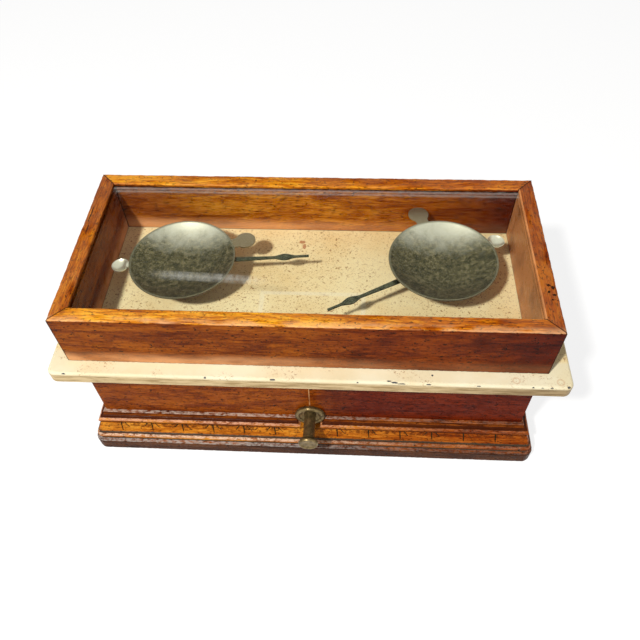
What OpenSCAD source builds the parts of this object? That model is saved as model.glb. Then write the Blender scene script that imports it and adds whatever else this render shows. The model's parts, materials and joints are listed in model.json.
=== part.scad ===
// Torsion prescription balance in a low wooden case with a lift-off glazed cover.
// Millimetres, +Z up, X along the case, the arrest knob faces -Y.
// The origin is the middle of the underside, on the surface the case stands on.
// The sizes start from the pans and the beams. The cover encloses the pans with a
// named room, the top board stands out round the cover, and the walls rise to
// clear the beams.

/* [Pans] */
// Distance from the middle of the balance to each pan's post
arm = 100.5; // [96:0.5:110]
// Radius of a pan at its rim
pan_r = 40.2; // [36:0.1:44]
// Depth of the bowl below its rim
pan_depth = 11.5; // [10:0.1:13]
// Thickness of the pan's metal
pan_t = 0.9; // [0.7:0.1:1.1]
// Radius of the bead round the rim
pan_bead_r = 0.7; // [0.6:0.05:0.9]
// Height of the rim above the top board when the balance is level
pan_rise = 30.3; // [28:0.1:36]
// Radius of the lifting ear
ear_r = 8; // [6:0.1:9]
// Distance from the rim to the ear's centre
ear_out = 11.2; // [9:0.1:13]
// Thickness of the ear
ear_t = 1; // [0.8:0.1:1.4]
// Width of the neck that joins the ear to the rim
ear_neck = 9.6; // [6:0.1:11]
// Direction of the left pan's ear, counter-clockwise from +X
left_ear_angle = 24; // [-180:1:180]
// Direction of the right pan's ear, counter-clockwise from +X
right_ear_angle = 109; // [-180:1:180]
// Radius of the socket under the pan
socket_r = 4.3; // [3.8:0.1:4.8]
// Thickness of the washer under the socket
washer_t = 0.6; // [0.4:0.1:0.9]

/* [Pointers] */
// How far a pointer's tip stays short of the middle of the balance
tip_short = 2.1; // [1:0.1:10]
// Thickness of the pointer's strip
pointer_t = 1; // [0.8:0.1:1.2]
// Level of the pointer's arms below the pan's rim
pointer_drop = 5.5; // [4.5:0.1:6.5]
// Width of the strip beside the pan
strip_w = 4.2; // [3:0.1:5]
// Width of the strip at its waist, just before the spade
waist_w = 2.4; // [1.6:0.1:3]
// Width of the tip
tip_w = 1.9; // [1:0.1:2.4]
// Width across the spade
spade_w = 6.4; // [5:0.1:9]
// Length of the spade
spade_l = 18; // [12:0.5:20]
// Distance from the tip to the widest place of the spade
spade_back = 18.9; // [14:0.1:24]
// Radius of the dished disc at the other end
dish_r = 6.4; // [5.6:0.1:7.2]
// Depth of the dished disc
dish_depth = 2.2; // [1.4:0.1:2.8]
// Distance from the rim to the dished disc's centre
dish_out = 9; // [8.6:0.1:12]
// Radius of the hub round the post
hub_r = 7.5; // [6.5:0.1:9]
// Swing of the left pointer, counter-clockwise from the line between the pans
left_swing = 5.5; // [-30:0.5:30]
// Swing of the right pointer, counter-clockwise from the line between the pans
right_swing = 29.5; // [-30:0.5:30]

/* [Posts] */
// Radius of a pan's post
post_r = 3.5; // [3.3:0.1:4]
// Radius of the journal that the pointer turns on
journal_r = 3; // [2.6:0.05:3.2]
// Length of the journal
journal_l = 3.7; // [3:0.1:4.5]
// Radius of the spigot that carries the pan
spigot_r = 2; // [1.5:0.05:2.3]
// Length of the spigot above the journal
spigot_l = 3.2; // [2.6:0.1:3.3]
// Clear space round a post in its hole in the top board
post_room = 2.5; // [2:0.1:4]

/* [Cover] */
// Room between the swing of the ears and the end rails, with the cover in the middle
end_room = 3.1; // [2.6:0.1:12]
// Room between the swing of the ears and the front and back rails, likewise
side_room = 5.35; // [4.2:0.05:12]
// Room between a pan's rim at its highest and the glass
over_room = 9.19; // [8.5:0.01:20]
// Thickness of the cover's rails
rail_t = 12; // [8:0.1:14]
// Rounding of the rails' top edges
rail_edge_r = 1.2; // [0.5:0.1:2]
// Thickness of the glass
glass_t = 3; // [2:0.1:3.6]
// How far the glass lies below the top of the rails
glass_drop = 2.6; // [2.2:0.1:4]
// Depth of the groove in the rails that holds the glass
groove_depth = 4; // [2:0.1:6]
// The cover stands this far off the middle of the board, along X
cover_x = -1.3; // [-2.5:0.1:2.5]
// The cover stands this far off the middle of the board, along Y
cover_y = -3.3; // [-4:0.1:-2.5]

/* [Top board] */
// How far the top board stands out beyond the cover at each end
board_end_margin = 15.5; // [10:0.1:25]
// How far the top board stands out beyond the cover at front and back
board_side_margin = 15.25; // [10:0.05:25]
// Thickness of the top board
board_t = 12.2; // [9:0.1:16]
// Corner radius of the top board, seen from above
board_corner_r = 6; // [4:0.5:14]
// Rounding of the top board's long edges
board_edge_r = 2.4; // [1:0.1:3.5]

/* [Base box] */
// How far the top board stands out beyond the walls below it
board_overhang = 17.8; // [16:0.1:20]
// Room between the top board and the mechanism at its highest
head_room = 2.69; // [1:0.01:15]
// Thickness of the four walls
wall_t = 10; // [7:0.5:12]
// Thickness of the bottom board
floor_t = 8; // [6:0.1:9]
// Leg of the three-cornered glue blocks inside the corners
glue_block = 14; // [8:1:18]
// Side of the two square cleats that hold the top board
cleat = 12; // [8:1:14]
// Length of the two cleats
cleat_l = 220; // [150:5:280]

/* [Plinth moulding, from the table up] */
// Height of the plinth's face
plinth_h = 14; // [11:0.1:16]
// Projection of the plinth's face
plinth_p = 15; // [14.2:0.1:17]
// Corner radius of the plinth, seen from above
plinth_corner_r = 6.5; // [3:0.1:6.7]
// Rounding of the plinth's bottom edge
plinth_r = 3; // [1:0.1:5]
// Rounding of the plinth's top edge
plinth_top_r = 1.2; // [0.6:0.1:2]
// Height of the quirk under the lower bead
lower_quirk = 2; // [1.2:0.1:3]
// Radius of the lower bead
lower_bead_r = 2.9; // [2.5:0.1:3.4]
// Projection of the lower bead
lower_bead_p = 13; // [12.6:0.1:14]
// Height of the step between the lower bead and the sloping band
band_step = 2.6; // [1.5:0.1:4]
// Projection of the sloping band at its bottom edge
band_bottom_p = 10.2; // [9:0.1:10.8]
// Projection of the sloping band at its top edge
band_top_p = 6.6; // [6:0.1:7]
// Height of the sloping band
band_h = 8.3; // [6:0.1:12]
// Height of the quirk under the upper bead
upper_quirk = 0.4; // [0.2:0.1:1]
// Radius of the upper bead
upper_bead_r = 2.9; // [2.4:0.1:3.3]
// Projection of the upper bead
upper_bead_p = 7.4; // [7:0.1:8.2]
// Radius of the cove over the upper bead
cove_r = 2.3; // [1.6:0.1:2.8]
// Height of the fillet along the top
fillet_h = 2.3; // [1.5:0.1:5]
// Projection of the fillet along the top
fillet_p = 2.6; // [1.8:0.1:3.4]

/* [Torsion system] */
// Tilt of the beams as they stand, right pan high, in degrees
tilt = 1.4; // [0:0.1:2]
// Tilt at which the beams meet their stops, in degrees
tilt_max = 2; // [1.7:0.1:2.6]
// Height of the upper torsion bands above the lower ones
band_rise = 48; // [44:0.1:56]
// Width of a torsion band
band_w = 4; // [3:0.1:4.5]
// Thickness of a torsion band
band_t = 0.4; // [0.2:0.05:0.5]
// Half the width of an end truss, along Y
truss_half = 24; // [21:0.5:27]
// Half the width of the centre truss, along Y
centre_half = 26; // [23:0.5:29]
// Width of the trusses' uprights, along Y
upright_w = 8; // [7:0.5:9]
// Thickness of the trusses, along X
truss_t = 8; // [6:0.5:9]
// Height of an end truss below its lower band
truss_drop = 16; // [14:0.1:18]
// Height of an end truss above its upper band
truss_rise = 14; // [12:0.1:16]
// Room between the base plate and an end truss at its lowest
truss_room = 5.49; // [2:0.01:8]
// Width of the beams, along Y
beam_w = 9; // [7:0.5:11]
// Depth of the beams in the middle
beam_mid_h = 10; // [8:0.1:11]
// Depth of the beams at their ends
beam_end_h = 6; // [4:0.1:7]
// Length of the beams beyond the end bands
beam_over = 8; // [7.6:0.1:10]
// Thickness of the clamp plates over the bands
clamp_h = 3; // [2.4:0.1:3.4]
// Length of the end clamp plates
end_clamp_l = 15; // [13:0.5:15.5]
// Length of the middle clamp plates
mid_clamp_l = 21; // [17:0.5:28]
// Radius of the clamp screws
clamp_screw_r = 1.25; // [1:0.05:1.4]
// Radius of the poise nut above the upper beam
poise_r = 7; // [5:0.5:9]
// Thickness of the poise nut
poise_t = 6; // [4:0.5:7]
// Height of the poise nut's middle above the upper bands
poise_z = 14; // [13:0.1:15]
// Radius of the threaded stem that the poise nut runs on
poise_stem_r = 1.5; // [1.2:0.1:2]
// Height of the stem's end above the upper bands
stem_top = 22; // [21:0.1:23]

/* [Base plate] */
// Length of the iron base plate, along X
plate_l = 200; // [180:1:230]
// Margin of the base plate in front of the guide rods' collars
plate_margin = 2; // [1:0.1:8]
// Thickness of the base plate
plate_t = 5; // [4:0.1:6]
// Thickness of the feet that are screwed to the base plate
foot_t = 5; // [4:0.1:6]
// Radius of the screws that hold the base plate and the feet
plate_screw_r = 2; // [1.5:0.1:2.4]
// Distance of the beam stops from the middle
stop_x = 75; // [66:1:85]
// Radius of a beam stop's screw
stop_r = 2; // [1.5:0.1:2.4]

/* [Arrest] */
// Height of the knob's axis above the table
knob_z = 46.7; // [44:0.1:52]
// Distance from the front wall to the knob's face
knob_reach = 28.9; // [25:0.1:40]
// Radius of the knob's stem
knob_stem_r = 4.7; // [3.8:0.1:5.2]
// Radius of the knob's button
button_r = 8; // [7:0.1:10]
// Radius of the dished ring round the stem
ring_r = 12.4; // [11.4:0.1:14]
// Radius of the spindle
spindle_r = 2.5; // [2:0.1:3]
// Depth of the spindle's hole in the knob
knob_hole = 14; // [8:0.5:20]
// Radius of the bush in the front wall
bush_r = 4.5; // [4:0.1:6]
// Thickness of the bracket that carries the spindle's inner end
bracket_t = 5; // [4:0.5:6]
// Half the width of the bracket
bracket_half = 10; // [8:0.5:12]
// Radius of the bracket's round head
bracket_head_r = 8; // [6:0.5:9]
// Radius of the cam at rest
cam_r = 6; // [5.5:0.1:7]
// Thickness of the cam
cam_t = 6; // [4:0.5:7]
// Rise of the lifter for a quarter turn of the knob
lift = 3.4; // [2.4:0.1:4]
// Height of the lifter's bar
bar_h = 6; // [5:0.5:8]
// Height of the two arms on the lifter's bar
lifter_arm_h = 4; // [3:0.5:5]
// Distance of the lifter's pads from the middle
pad_x = 60; // [52:1:68]
// Radius of the lifter's pads and of the posts under them
pad_r = 4; // [3:0.1:4.5]
// Thickness of the pads
pad_t = 1.5; // [1:0.1:2]
// Radius of the lifter's guide rods
guide_r = 2.5; // [2:0.1:3]
// Wall of the lifter's bar round its guide rods
guide_wall = 1.4; // [1:0.1:2]
// Distance of the lifter's guide rods from the middle
guide_x = 42; // [34:1:47]

/* [Fits] */
// Radial clearance of a running fit
run_fit = 0.05; // [0.03:0.01:0.08]
// Gap between pieces that move past each other
gap = 0.3; // [0.25:0.05:0.4]
// Play of a beam's end round the torsion band that it is clamped to
band_play = 0.35; // [0.3:0.01:0.45]

/* [Hidden] */
$fn = 48;
LEFT = -1;
RIGHT = 1;
// Plan: the ears and discs swing in circles round the posts, and the cover clears them
ear_reach = pan_r + ear_out;
dish_reach = pan_r + dish_out;
dish_edge_r = dish_r + pointer_t / 3;
swing_r = max(ear_reach + ear_r, dish_reach + dish_edge_r);
cover_l = 2 * (arm + swing_r + end_room + rail_t);
cover_d = 2 * (swing_r + side_room + rail_t);
board_l = cover_l + 2 * board_end_margin;
board_d = cover_d + 2 * board_side_margin;
base_l = board_l - 2 * board_overhang;
base_d = board_d - 2 * board_overhang;
front_y = -base_d / 2;
// Heights: base plate, bands, walls, board, pans, glass
tilt_reach = arm * sin(tilt_max);
plate_top = floor_t + plate_t;
foot_top = plate_top + foot_t;
lower_z = plate_top + truss_room + tilt_reach + truss_drop;
upper_z = lower_z + band_rise;
mid_z = (upper_z + lower_z) / 2;
truss_top = upper_z + truss_rise;
truss_bottom = lower_z - truss_drop;
boss_h = 4;
boss_top = truss_top + boss_h;
collar_h = 2;
base_h = boss_top + collar_h + tilt_reach + head_room;
board_top = base_h + board_t;
rim_z = board_top + pan_rise;
cover_h = pan_rise + tilt_reach + over_room + glass_t + glass_drop;
glass_z = board_top + cover_h - glass_drop - glass_t;
// Screws and joinery
wood_screw_r = 1.6;
wood_screw_grip = 7;
thread_end = 0.5;
notch_r = ring_r + 0.4;
index_w = 0.8;
index_depth = 0.8;
groove_play = 0.1;
// Pans and pointers, in the level position
bowl_r = (pan_r * pan_r + pan_depth * pan_depth) / (2 * pan_depth);
bowl_z = rim_z - pan_depth + bowl_r;
bowl_fn = 180;
cradle_gap = 0.4;
cradle_r = bowl_r + pan_t + cradle_gap;
arm_z = rim_z - pointer_drop;
cradle_x = sqrt(pow(cradle_r + pointer_t / 2, 2) - pow(bowl_z - arm_z - pointer_t / 2, 2));
pointer_reach = arm - tip_short;
spade_reach = pointer_reach - spade_back;
spade_step = 1;
washer_play = 0.05;
hub_floor = 2.8;
shoulder_z = rim_z - pan_depth - pan_t - cradle_gap - pointer_t - hub_floor;
socket_z = shoulder_z + washer_t + 2 * washer_play;
hub_z = shoulder_z - journal_l + gap;
hub_well_r = socket_r + 0.5;
hub_well_z = shoulder_z - 0.2;
// Posts and trusses
post_hole_r = post_r + post_room;
collar_r = post_r + 2;
post_thread_r = 2.5;
boss_r = 7;
boss_hole = 7.5;
window_drop = 10;
window_rise = 9;
crossbar_h = 8;
truss_corner_r = 6;
window_r = 4;
band_half = band_t / 2 + band_play;
tab_l = 5.5;
tab_screw_r = 1.1;
tab_screw_z = -3;
centre_foot_half = 16;
centre_foot_lip = 2;
centre_corner_r = 3;
centre_rise = 6;
centre_web = 5;
beam_flat = 12;
stem_foot = band_half + 1;
clamp_screw_grip = clamp_h + 2 * band_half + 3.5;
// Arrest, from the centre truss forwards
bracket_space = 3;
bracket_y = -centre_half - centre_foot_lip - bracket_space - bracket_t / 2;
cam_space = 2;
cam_y = bracket_y - bracket_t / 2 - cam_space - cam_t / 2;
bracket_screw_x = bracket_half + 6;
bracket_foot_half = bracket_half + 11;
collar_wall = 2;
guide_collar_r = guide_r + collar_wall;
guide_collar_h = 3;
bar_w = 2 * (guide_r + guide_wall);
cam_lead = 0.65;
bar_z = knob_z + cam_r + cam_lead;
bar_top = bar_z + bar_h;
lifter_gap = lift + pad_x * sin(tilt_max) + gap;
pad_top = upper_z - band_half - beam_h(pad_x) - lifter_gap;
stop_top = lower_z - band_half - beam_h(stop_x) - stop_x * sin(tilt_max) - gap;
plate_d = 2 * (plate_margin + guide_collar_r - cam_y);

// Depth of a beam at a distance from the middle.
function beam_h(x) = let (f = (abs(x) - beam_flat) / (arm + beam_over - beam_flat))
    beam_mid_h + (beam_end_h - beam_mid_h) * max(0, f);

// Half the width of the pointer's strip at a distance from the post.
function strip_half(x) = let (
    taper = max(0, min(1, (x - pan_r) / (spade_reach - spade_l / 2 - pan_r))),
    plain = strip_w + (waist_w - strip_w) * taper,
    past = max(0, min(1, (x - spade_reach) / (spade_l / 2))),
    base = plain + (tip_w - plain) * past,
    off = min(1, abs(x - spade_reach) / (spade_l / 2)),
    swell = (1 + cos(180 * off)) / 2)
    (base + (spade_w - base) * swell) / 2;

// Radius of the cam at an angle from its top, in degrees, rising at a steady rate.
function cam_radius(a) = cam_r + lift * a / 90;

// Helpers for plain shapes
module block(x0, x1, y0, y1, z0, z1) {
    translate([x0, y0, z0]) cube([x1 - x0, y1 - y0, z1 - z0]);
}

module rod(r, z0, z1) {
    translate([0, 0, z0]) cylinder(r = r, h = z1 - z0);
}

module rod_y(r, y0, y1) {
    translate([0, y0, 0]) rotate([-90, 0, 0]) cylinder(r = r, h = y1 - y0);
}

// A flat outline in Y and Z, given thickness t along X about the middle.
module upright_plate(t) {
    translate([-t / 2, 0, 0]) rotate([90, 0, 90]) linear_extrude(t) children();
}

// A rectangle with round corners, from its low corner to its high corner.
module round_rect(x0, y0, x1, y1, r) {
    translate([x0 + r, y0]) square([x1 - x0 - 2 * r, y1 - y0]);
    translate([x0, y0 + r]) square([x1 - x0, y1 - y0 - 2 * r]);
    for (x = [x0 + r, x1 - r], y = [y0 + r, y1 - r]) translate([x, y]) circle(r);
}

// A round-headed screw that points down, with its head's seat at z = 0.
module screw(r, grip) {
    rod(r, -grip, 0.1);
    rotate_extrude() intersection() {
        square([r * 2, r * 1.4]);
        translate([0, -r * 0.8]) circle(r * 2.2);
    }
}

// Puts a side's piece in place: 0 front, 1 right, 2 back, 3 left.
module at_side(i, l, d) {
    rotate([0, 0, 90 * i]) translate([0, -(i % 2 == 0 ? d : l) / 2, 0]) children();
}

// Puts a piece at the left or right end of the tilted beams.
module at_end(side) {
    translate([side * arm * cos(tilt), 0, side * arm * sin(tilt)]) children();
}

// Turns a piece with the beam whose centre band lies at height z.
module on_beam(z) {
    translate([0, 0, z]) rotate([0, -tilt, 0]) children();
}

// Base box
module wall(i) {
    l = i % 2 == 0 ? base_l : base_d;
    at_side(i, base_l, base_d) linear_extrude(base_h)
        polygon([[-l / 2, 0], [l / 2, 0], [l / 2 - wall_t, wall_t], [wall_t - l / 2, wall_t]]);
}

module front_wall() {
    color("sienna") difference() {
        wall(0);
        translate([0, 0, knob_z]) rod_y(bush_r + run_fit, front_y - 1, front_y + wall_t + 1);
        index_slip();
    }
}

module index_slip() {
    block(-index_w / 2, index_w / 2, front_y, front_y + index_depth, knob_z + ring_r + 1, base_h);
}

module index_line() {
    color("bisque") index_slip();
}

module back_wall() {
    color("sienna") wall(2);
}

module left_wall() {
    color("sienna") wall(3);
}

module right_wall() {
    color("sienna") wall(1);
}

// Places of the screws that hold the base plate.
module plate_screw_places() {
    inset_x = 12;
    inset_y = 8;
    for (x = [-1, 1], y = [-1, 1])
        translate([x * (plate_l / 2 - inset_x), y * (plate_d / 2 - inset_y), plate_top]) children();
}

module bottom_board() {
    half_l = base_l / 2 - wall_t;
    half_d = base_d / 2 - wall_t;
    color("peru") difference() {
        block(-half_l, half_l, -half_d, half_d, 0, floor_t);
        plate_screw_places() rod(plate_screw_r + run_fit, -plate_t - floor_t + plate_screw_r, 1);
    }
}

module corner_blocks() {
    color("peru") for (x = [-1, 1], y = [-1, 1]) scale([x, y, 1])
        translate([wall_t - base_l / 2, wall_t - base_d / 2, floor_t]) linear_extrude(base_h - floor_t)
            polygon([[0, 0], [glue_block, 0], [0, glue_block]]);
}

// Places of the screws that go up through the cleats into the board.
module cleat_screw_places() {
    inset = 20;
    for (x = [-1, 1], y = [-1, 1])
        translate([x * (cleat_l / 2 - inset), y * (base_d / 2 - wall_t - cleat / 2), base_h - cleat])
            rotate([180, 0, 0]) children();
}

module board_cleats() {
    color("peru") difference() {
        for (y = [-1, 1]) translate([0, y * (base_d / 2 - wall_t - cleat / 2), base_h - cleat / 2])
            cube([cleat_l, cleat, cleat], center = true);
        cleat_screw_places() rod(wood_screw_r + run_fit, -cleat - 1, 1);
    }
}

module cleat_screws() {
    color("gray") cleat_screw_places() screw(wood_screw_r, cleat + wood_screw_grip);
}

// Moulding, drawn with its back on the wall and its projection towards -Y. The members
// stack up from the table: plinth, lower bead, step, sloping band, upper bead, cove, fillet.
lower_bead_z = plinth_h + lower_quirk + lower_bead_r;
band_bottom_z = lower_bead_z + lower_bead_r + band_step;
band_top_z = band_bottom_z + band_h;
upper_bead_z = band_top_z + upper_quirk + upper_bead_r;
cove_bottom_z = upper_bead_z + upper_bead_r;
cove_top_z = cove_bottom_z + cove_r;
mould_h = cove_top_z + fillet_h;

module moulding_outline() {
    low_x = lower_bead_p - lower_bead_r;
    up_x = upper_bead_p - upper_bead_r;
    lip = 0.8;
    tuck = 0.5;
    core_p = low_x + lower_bead_r - 1;
    difference() {
        union() {
            polygon([[0, 0], [plinth_p - plinth_r, 0], [plinth_p, plinth_r],
                [plinth_p, plinth_h - plinth_top_r], [plinth_p - plinth_top_r, plinth_h],
                [core_p, plinth_h + tuck], [core_p, lower_bead_z],
                [band_bottom_p + lip, lower_bead_z + lower_bead_r - 1],
                [band_bottom_p + lip, band_bottom_z - tuck / 2],
                [band_bottom_p, band_bottom_z], [band_top_p, band_top_z],
                [up_x + upper_bead_r / 2, band_top_z + upper_quirk + tuck],
                [up_x + upper_bead_r / 3, cove_bottom_z],
                [fillet_p + cove_r, cove_bottom_z], [fillet_p + cove_r, cove_top_z],
                [fillet_p, cove_top_z], [fillet_p, mould_h], [0, mould_h]]);
            translate([plinth_p - plinth_r, plinth_r]) circle(plinth_r);
            translate([plinth_p - plinth_top_r, plinth_h - plinth_top_r]) circle(plinth_top_r);
            translate([low_x, lower_bead_z]) circle(lower_bead_r);
            translate([up_x, upper_bead_z]) circle(upper_bead_r);
        }
        translate([fillet_p + cove_r, cove_top_z]) circle(cove_r);
    }
}

module moulding(i) {
    l = i % 2 == 0 ? base_l : base_d;
    half_l = base_l / 2 + plinth_p;
    half_d = base_d / 2 + plinth_p;
    reach = plinth_p + 1;
    intersection() {
        at_side(i, base_l, base_d) intersection() {
            translate([-l / 2 - reach, 0, 0]) rotate([90, 0, 90]) linear_extrude(l + 2 * reach)
                mirror([1, 0]) moulding_outline();
            linear_extrude(mould_h + 1)
                polygon([[-l / 2, 0], [l / 2, 0], [l / 2 + reach, -reach], [-l / 2 - reach, -reach]]);
        }
        translate([0, 0, -1]) linear_extrude(mould_h + 2)
            round_rect(-half_l, -half_d, half_l, half_d, plinth_corner_r);
    }
}

module front_moulding() {
    color("chocolate") difference() {
        moulding(0);
        translate([0, 0, knob_z]) rod_y(notch_r, front_y - plinth_p - 1, front_y + 1);
    }
}

module back_moulding() {
    color("chocolate") moulding(2);
}

module left_moulding() {
    color("chocolate") moulding(3);
}

module right_moulding() {
    color("chocolate") moulding(1);
}

// Top board: a slab whose edge has one round section all the way round
module board_section(w) {
    square([w - board_edge_r, board_t]);
    translate([0, board_edge_r]) square([w, board_t - 2 * board_edge_r]);
    for (z = [board_edge_r, board_t - board_edge_r])
        translate([w - board_edge_r, z]) circle(board_edge_r);
}

module board_slab() {
    in_l = board_l - 2 * board_corner_r;
    in_d = board_d - 2 * board_corner_r;
    translate([-in_l / 2, -in_d / 2, 0]) cube([in_l, in_d, board_t]);
    for (i = [0:3]) rotate([0, 0, 90 * i]) {
        run = i % 2 == 0 ? in_d : in_l;
        out = i % 2 == 0 ? in_l : in_d;
        translate([out / 2, run / 2, 0]) rotate([90, 0, 0]) linear_extrude(run)
            board_section(board_corner_r);
        translate([out / 2, run / 2, 0]) rotate_extrude(angle = 90) board_section(board_corner_r);
    }
}

module top_board() {
    color("wheat") difference() {
        translate([0, 0, base_h]) board_slab();
        for (side = [LEFT, RIGHT]) translate([side * arm, 0, 0])
            rod(post_hole_r, base_h - 1, board_top + 1);
        cleat_screw_places() rod(wood_screw_r + run_fit, -cleat - wood_screw_grip - thread_end, 1);
    }
}

// Cover
module at_cover(i) {
    translate([cover_x, cover_y, board_top]) at_side(i, cover_l, cover_d) children();
}

module rail_section() {
    groove_z = glass_z - board_top - groove_play;
    difference() {
        union() {
            translate([rail_edge_r, 0]) square([rail_t - 2 * rail_edge_r, cover_h]);
            square([rail_t, cover_h - rail_edge_r]);
            for (y = [rail_edge_r, rail_t - rail_edge_r])
                translate([y, cover_h - rail_edge_r]) circle(rail_edge_r);
        }
        translate([rail_t - groove_depth, groove_z]) square([groove_depth + 1, glass_t + 2 * groove_play]);
    }
}

module rail(i) {
    l = i % 2 == 0 ? cover_l : cover_d;
    at_cover(i) intersection() {
        translate([-l / 2, 0, 0]) rotate([90, 0, 90]) linear_extrude(l) rail_section();
        linear_extrude(cover_h)
            polygon([[-l / 2, 0], [l / 2, 0], [l / 2 - rail_t, rail_t], [rail_t - l / 2, rail_t]]);
    }
}

module cover_front_rail() {
    color("darkorange") rail(0);
}

module cover_right_rail() {
    color("darkorange") rail(1);
}

module cover_back_rail() {
    color("darkorange") rail(2);
}

module cover_left_rail() {
    color("darkorange") rail(3);
}

module cover_glass() {
    inset = rail_t - groove_depth + gap;
    half_l = cover_l / 2 - inset;
    half_d = cover_d / 2 - inset;
    color("lightblue", 0.4) translate([cover_x, cover_y, 0])
        block(-half_l, half_l, -half_d, half_d, glass_z, glass_z + glass_t);
}

// Pans, drawn level with the post on the Z axis
module pan(ear_angle) {
    low_z = rim_z - pan_depth - 2 * pan_t;
    bead_x = pan_r + pan_t / 2;
    difference() {
        union() {
            rotate_extrude($fn = bowl_fn) {
                difference() {
                    intersection() {
                        translate([0, bowl_z]) circle(bowl_r + pan_t);
                        translate([0, low_z]) square([pan_r + pan_t, rim_z - low_z]);
                    }
                    translate([0, bowl_z]) circle(bowl_r);
                }
            }
            rotate_extrude($fn = bowl_fn) translate([bead_x, rim_z - pan_bead_r]) circle(pan_bead_r);
            rotate([0, 0, ear_angle]) ear();
            rod(socket_r, socket_z, rim_z - pan_depth - pan_t / 2);
        }
        rod(spigot_r + run_fit, socket_z - 1, shoulder_z + spigot_l + gap);
    }
}

// The ear is a flat tab that starts at the bead and ends in a round pad.
module ear() {
    translate([0, 0, rim_z - pan_bead_r - ear_t / 2]) linear_extrude(ear_t) difference() {
        union() {
            translate([ear_reach, 0]) circle(ear_r);
            translate([0, -ear_neck / 2]) square([ear_reach, ear_neck]);
        }
        circle(pan_r + pan_t / 2, $fn = bowl_fn);
    }
}

module left_pan() {
    color("darkkhaki") at_end(LEFT) pan(left_ear_angle);
}

module right_pan() {
    color("darkkhaki") at_end(RIGHT) pan(right_ear_angle);
}

module pan_washer() {
    difference() {
        rod(journal_r + 0.8, shoulder_z + washer_play, shoulder_z + washer_play + washer_t);
        rod(spigot_r + run_fit, shoulder_z - 1, socket_z + 1);
    }
}

module left_pan_washer() {
    color("saddlebrown") at_end(LEFT) pan_washer();
}

module right_pan_washer() {
    color("saddlebrown") at_end(RIGHT) pan_washer();
}

// Pointer: one strip that cradles the pan, with a spade hand towards +X and a dished disc towards -X
module pointer_side() {
    dish_start = 0.7 * dish_r - dish_reach;
    intersection() {
        difference() {
            translate([0, bowl_z]) circle(cradle_r + pointer_t, $fn = bowl_fn);
            translate([0, bowl_z]) circle(cradle_r, $fn = bowl_fn);
        }
        translate([-cradle_x, bowl_z - cradle_r - 2 * pointer_t])
            square([2 * cradle_x, arm_z + pointer_t - bowl_z + cradle_r + 2 * pointer_t]);
    }
    translate([cradle_x - 1, arm_z]) square([pointer_reach - cradle_x + 1, pointer_t]);
    translate([dish_start, arm_z]) square([1 - cradle_x - dish_start, pointer_t]);
}

module pointer_plan() {
    steps = ceil((pointer_reach - pan_r) / spade_step);
    xs = [for (k = [0:steps]) pan_r + (pointer_reach - pan_r) * k / steps];
    polygon(concat([[-dish_reach, -strip_w / 2]], [for (x = xs) [x, -strip_half(x)]],
        [for (k = [steps:-1:0]) [xs[k], strip_half(xs[k])]], [[-dish_reach, strip_w / 2]]));
    circle(hub_r);
}

module dish() {
    dish_bowl = (dish_r * dish_r + dish_depth * dish_depth) / (2 * dish_depth);
    top = arm_z + pointer_t;
    rotate_extrude() difference() {
        intersection() {
            translate([0, top - dish_depth + dish_bowl]) circle(dish_bowl + pointer_t);
            translate([0, top - dish_depth - pointer_t]) square([dish_edge_r, dish_depth + pointer_t]);
        }
        translate([0, top - dish_depth + dish_bowl]) circle(dish_bowl);
    }
}

module pointer() {
    side_w = 2 * hub_r + 2;
    difference() {
        union() {
            intersection() {
                translate([0, side_w / 2, 0]) rotate([90, 0, 0]) linear_extrude(side_w) pointer_side();
                translate([0, 0, rim_z - 2 * pan_depth]) linear_extrude(2 * pan_depth) pointer_plan();
            }
            translate([-dish_reach, 0, 0]) dish();
            rod(hub_r, hub_z, rim_z - pan_depth - pan_t - cradle_gap - pointer_t / 2);
        }
        rod(journal_r + run_fit, hub_z - 1, hub_well_z + 0.1);
        rod(hub_well_r, hub_well_z, rim_z);
    }
}

module left_pointer() {
    color("darkslategray") at_end(LEFT) rotate([0, 0, left_swing]) pointer();
}

module right_pointer() {
    color("darkslategray") at_end(RIGHT) rotate([0, 0, 180 + right_swing]) pointer();
}

module pan_post() {
    rod(post_thread_r, boss_top - boss_hole + thread_end, boss_top);
    rod(collar_r, boss_top, boss_top + collar_h);
    rod(post_r, boss_top, shoulder_z - journal_l);
    rod(journal_r, boss_top, shoulder_z);
    rod(spigot_r, boss_top, shoulder_z + spigot_l);
}

module left_post() {
    color("goldenrod") at_end(LEFT) pan_post();
}

module right_post() {
    color("goldenrod") at_end(RIGHT) pan_post();
}

// Trusses: stiff frames that stretch the torsion bands between their uprights
module band_cuts(half) {
    for (z = [upper_z, lower_z]) {
        block(-band_w / 2, band_w / 2, -half - 1, half + 1, z - band_t / 2, z + band_t / 2);
        for (y = [-1, 1]) scale([1, y, 1]) translate([0, half - upright_w / 2 - 1, z + tab_screw_z])
            rod_y(tab_screw_r + run_fit, 0, upright_w);
    }
}

module end_truss() {
    in = truss_half - upright_w;
    difference() {
        union() {
            upright_plate(truss_t) difference() {
                round_rect(-truss_half, truss_bottom, truss_half, truss_top, truss_corner_r);
                round_rect(-in, lower_z - window_drop, in, mid_z - crossbar_h / 2, window_r);
                round_rect(-in, mid_z + crossbar_h / 2, in, upper_z + window_rise, window_r);
            }
            rod(boss_r, upper_z + window_rise + gap, boss_top);
        }
        rod(post_thread_r + run_fit, boss_top - boss_hole, boss_top + 1);
        band_cuts(truss_half);
    }
}

module left_truss() {
    color("dimgray") at_end(LEFT) end_truss();
}

module right_truss() {
    color("dimgray") at_end(RIGHT) end_truss();
}

module truss_foot_places() {
    for (x = [-1, 1], y = [-1, 1])
        translate([x * (centre_foot_half - 5), y * (centre_half - 4), foot_top]) children();
}

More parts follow.
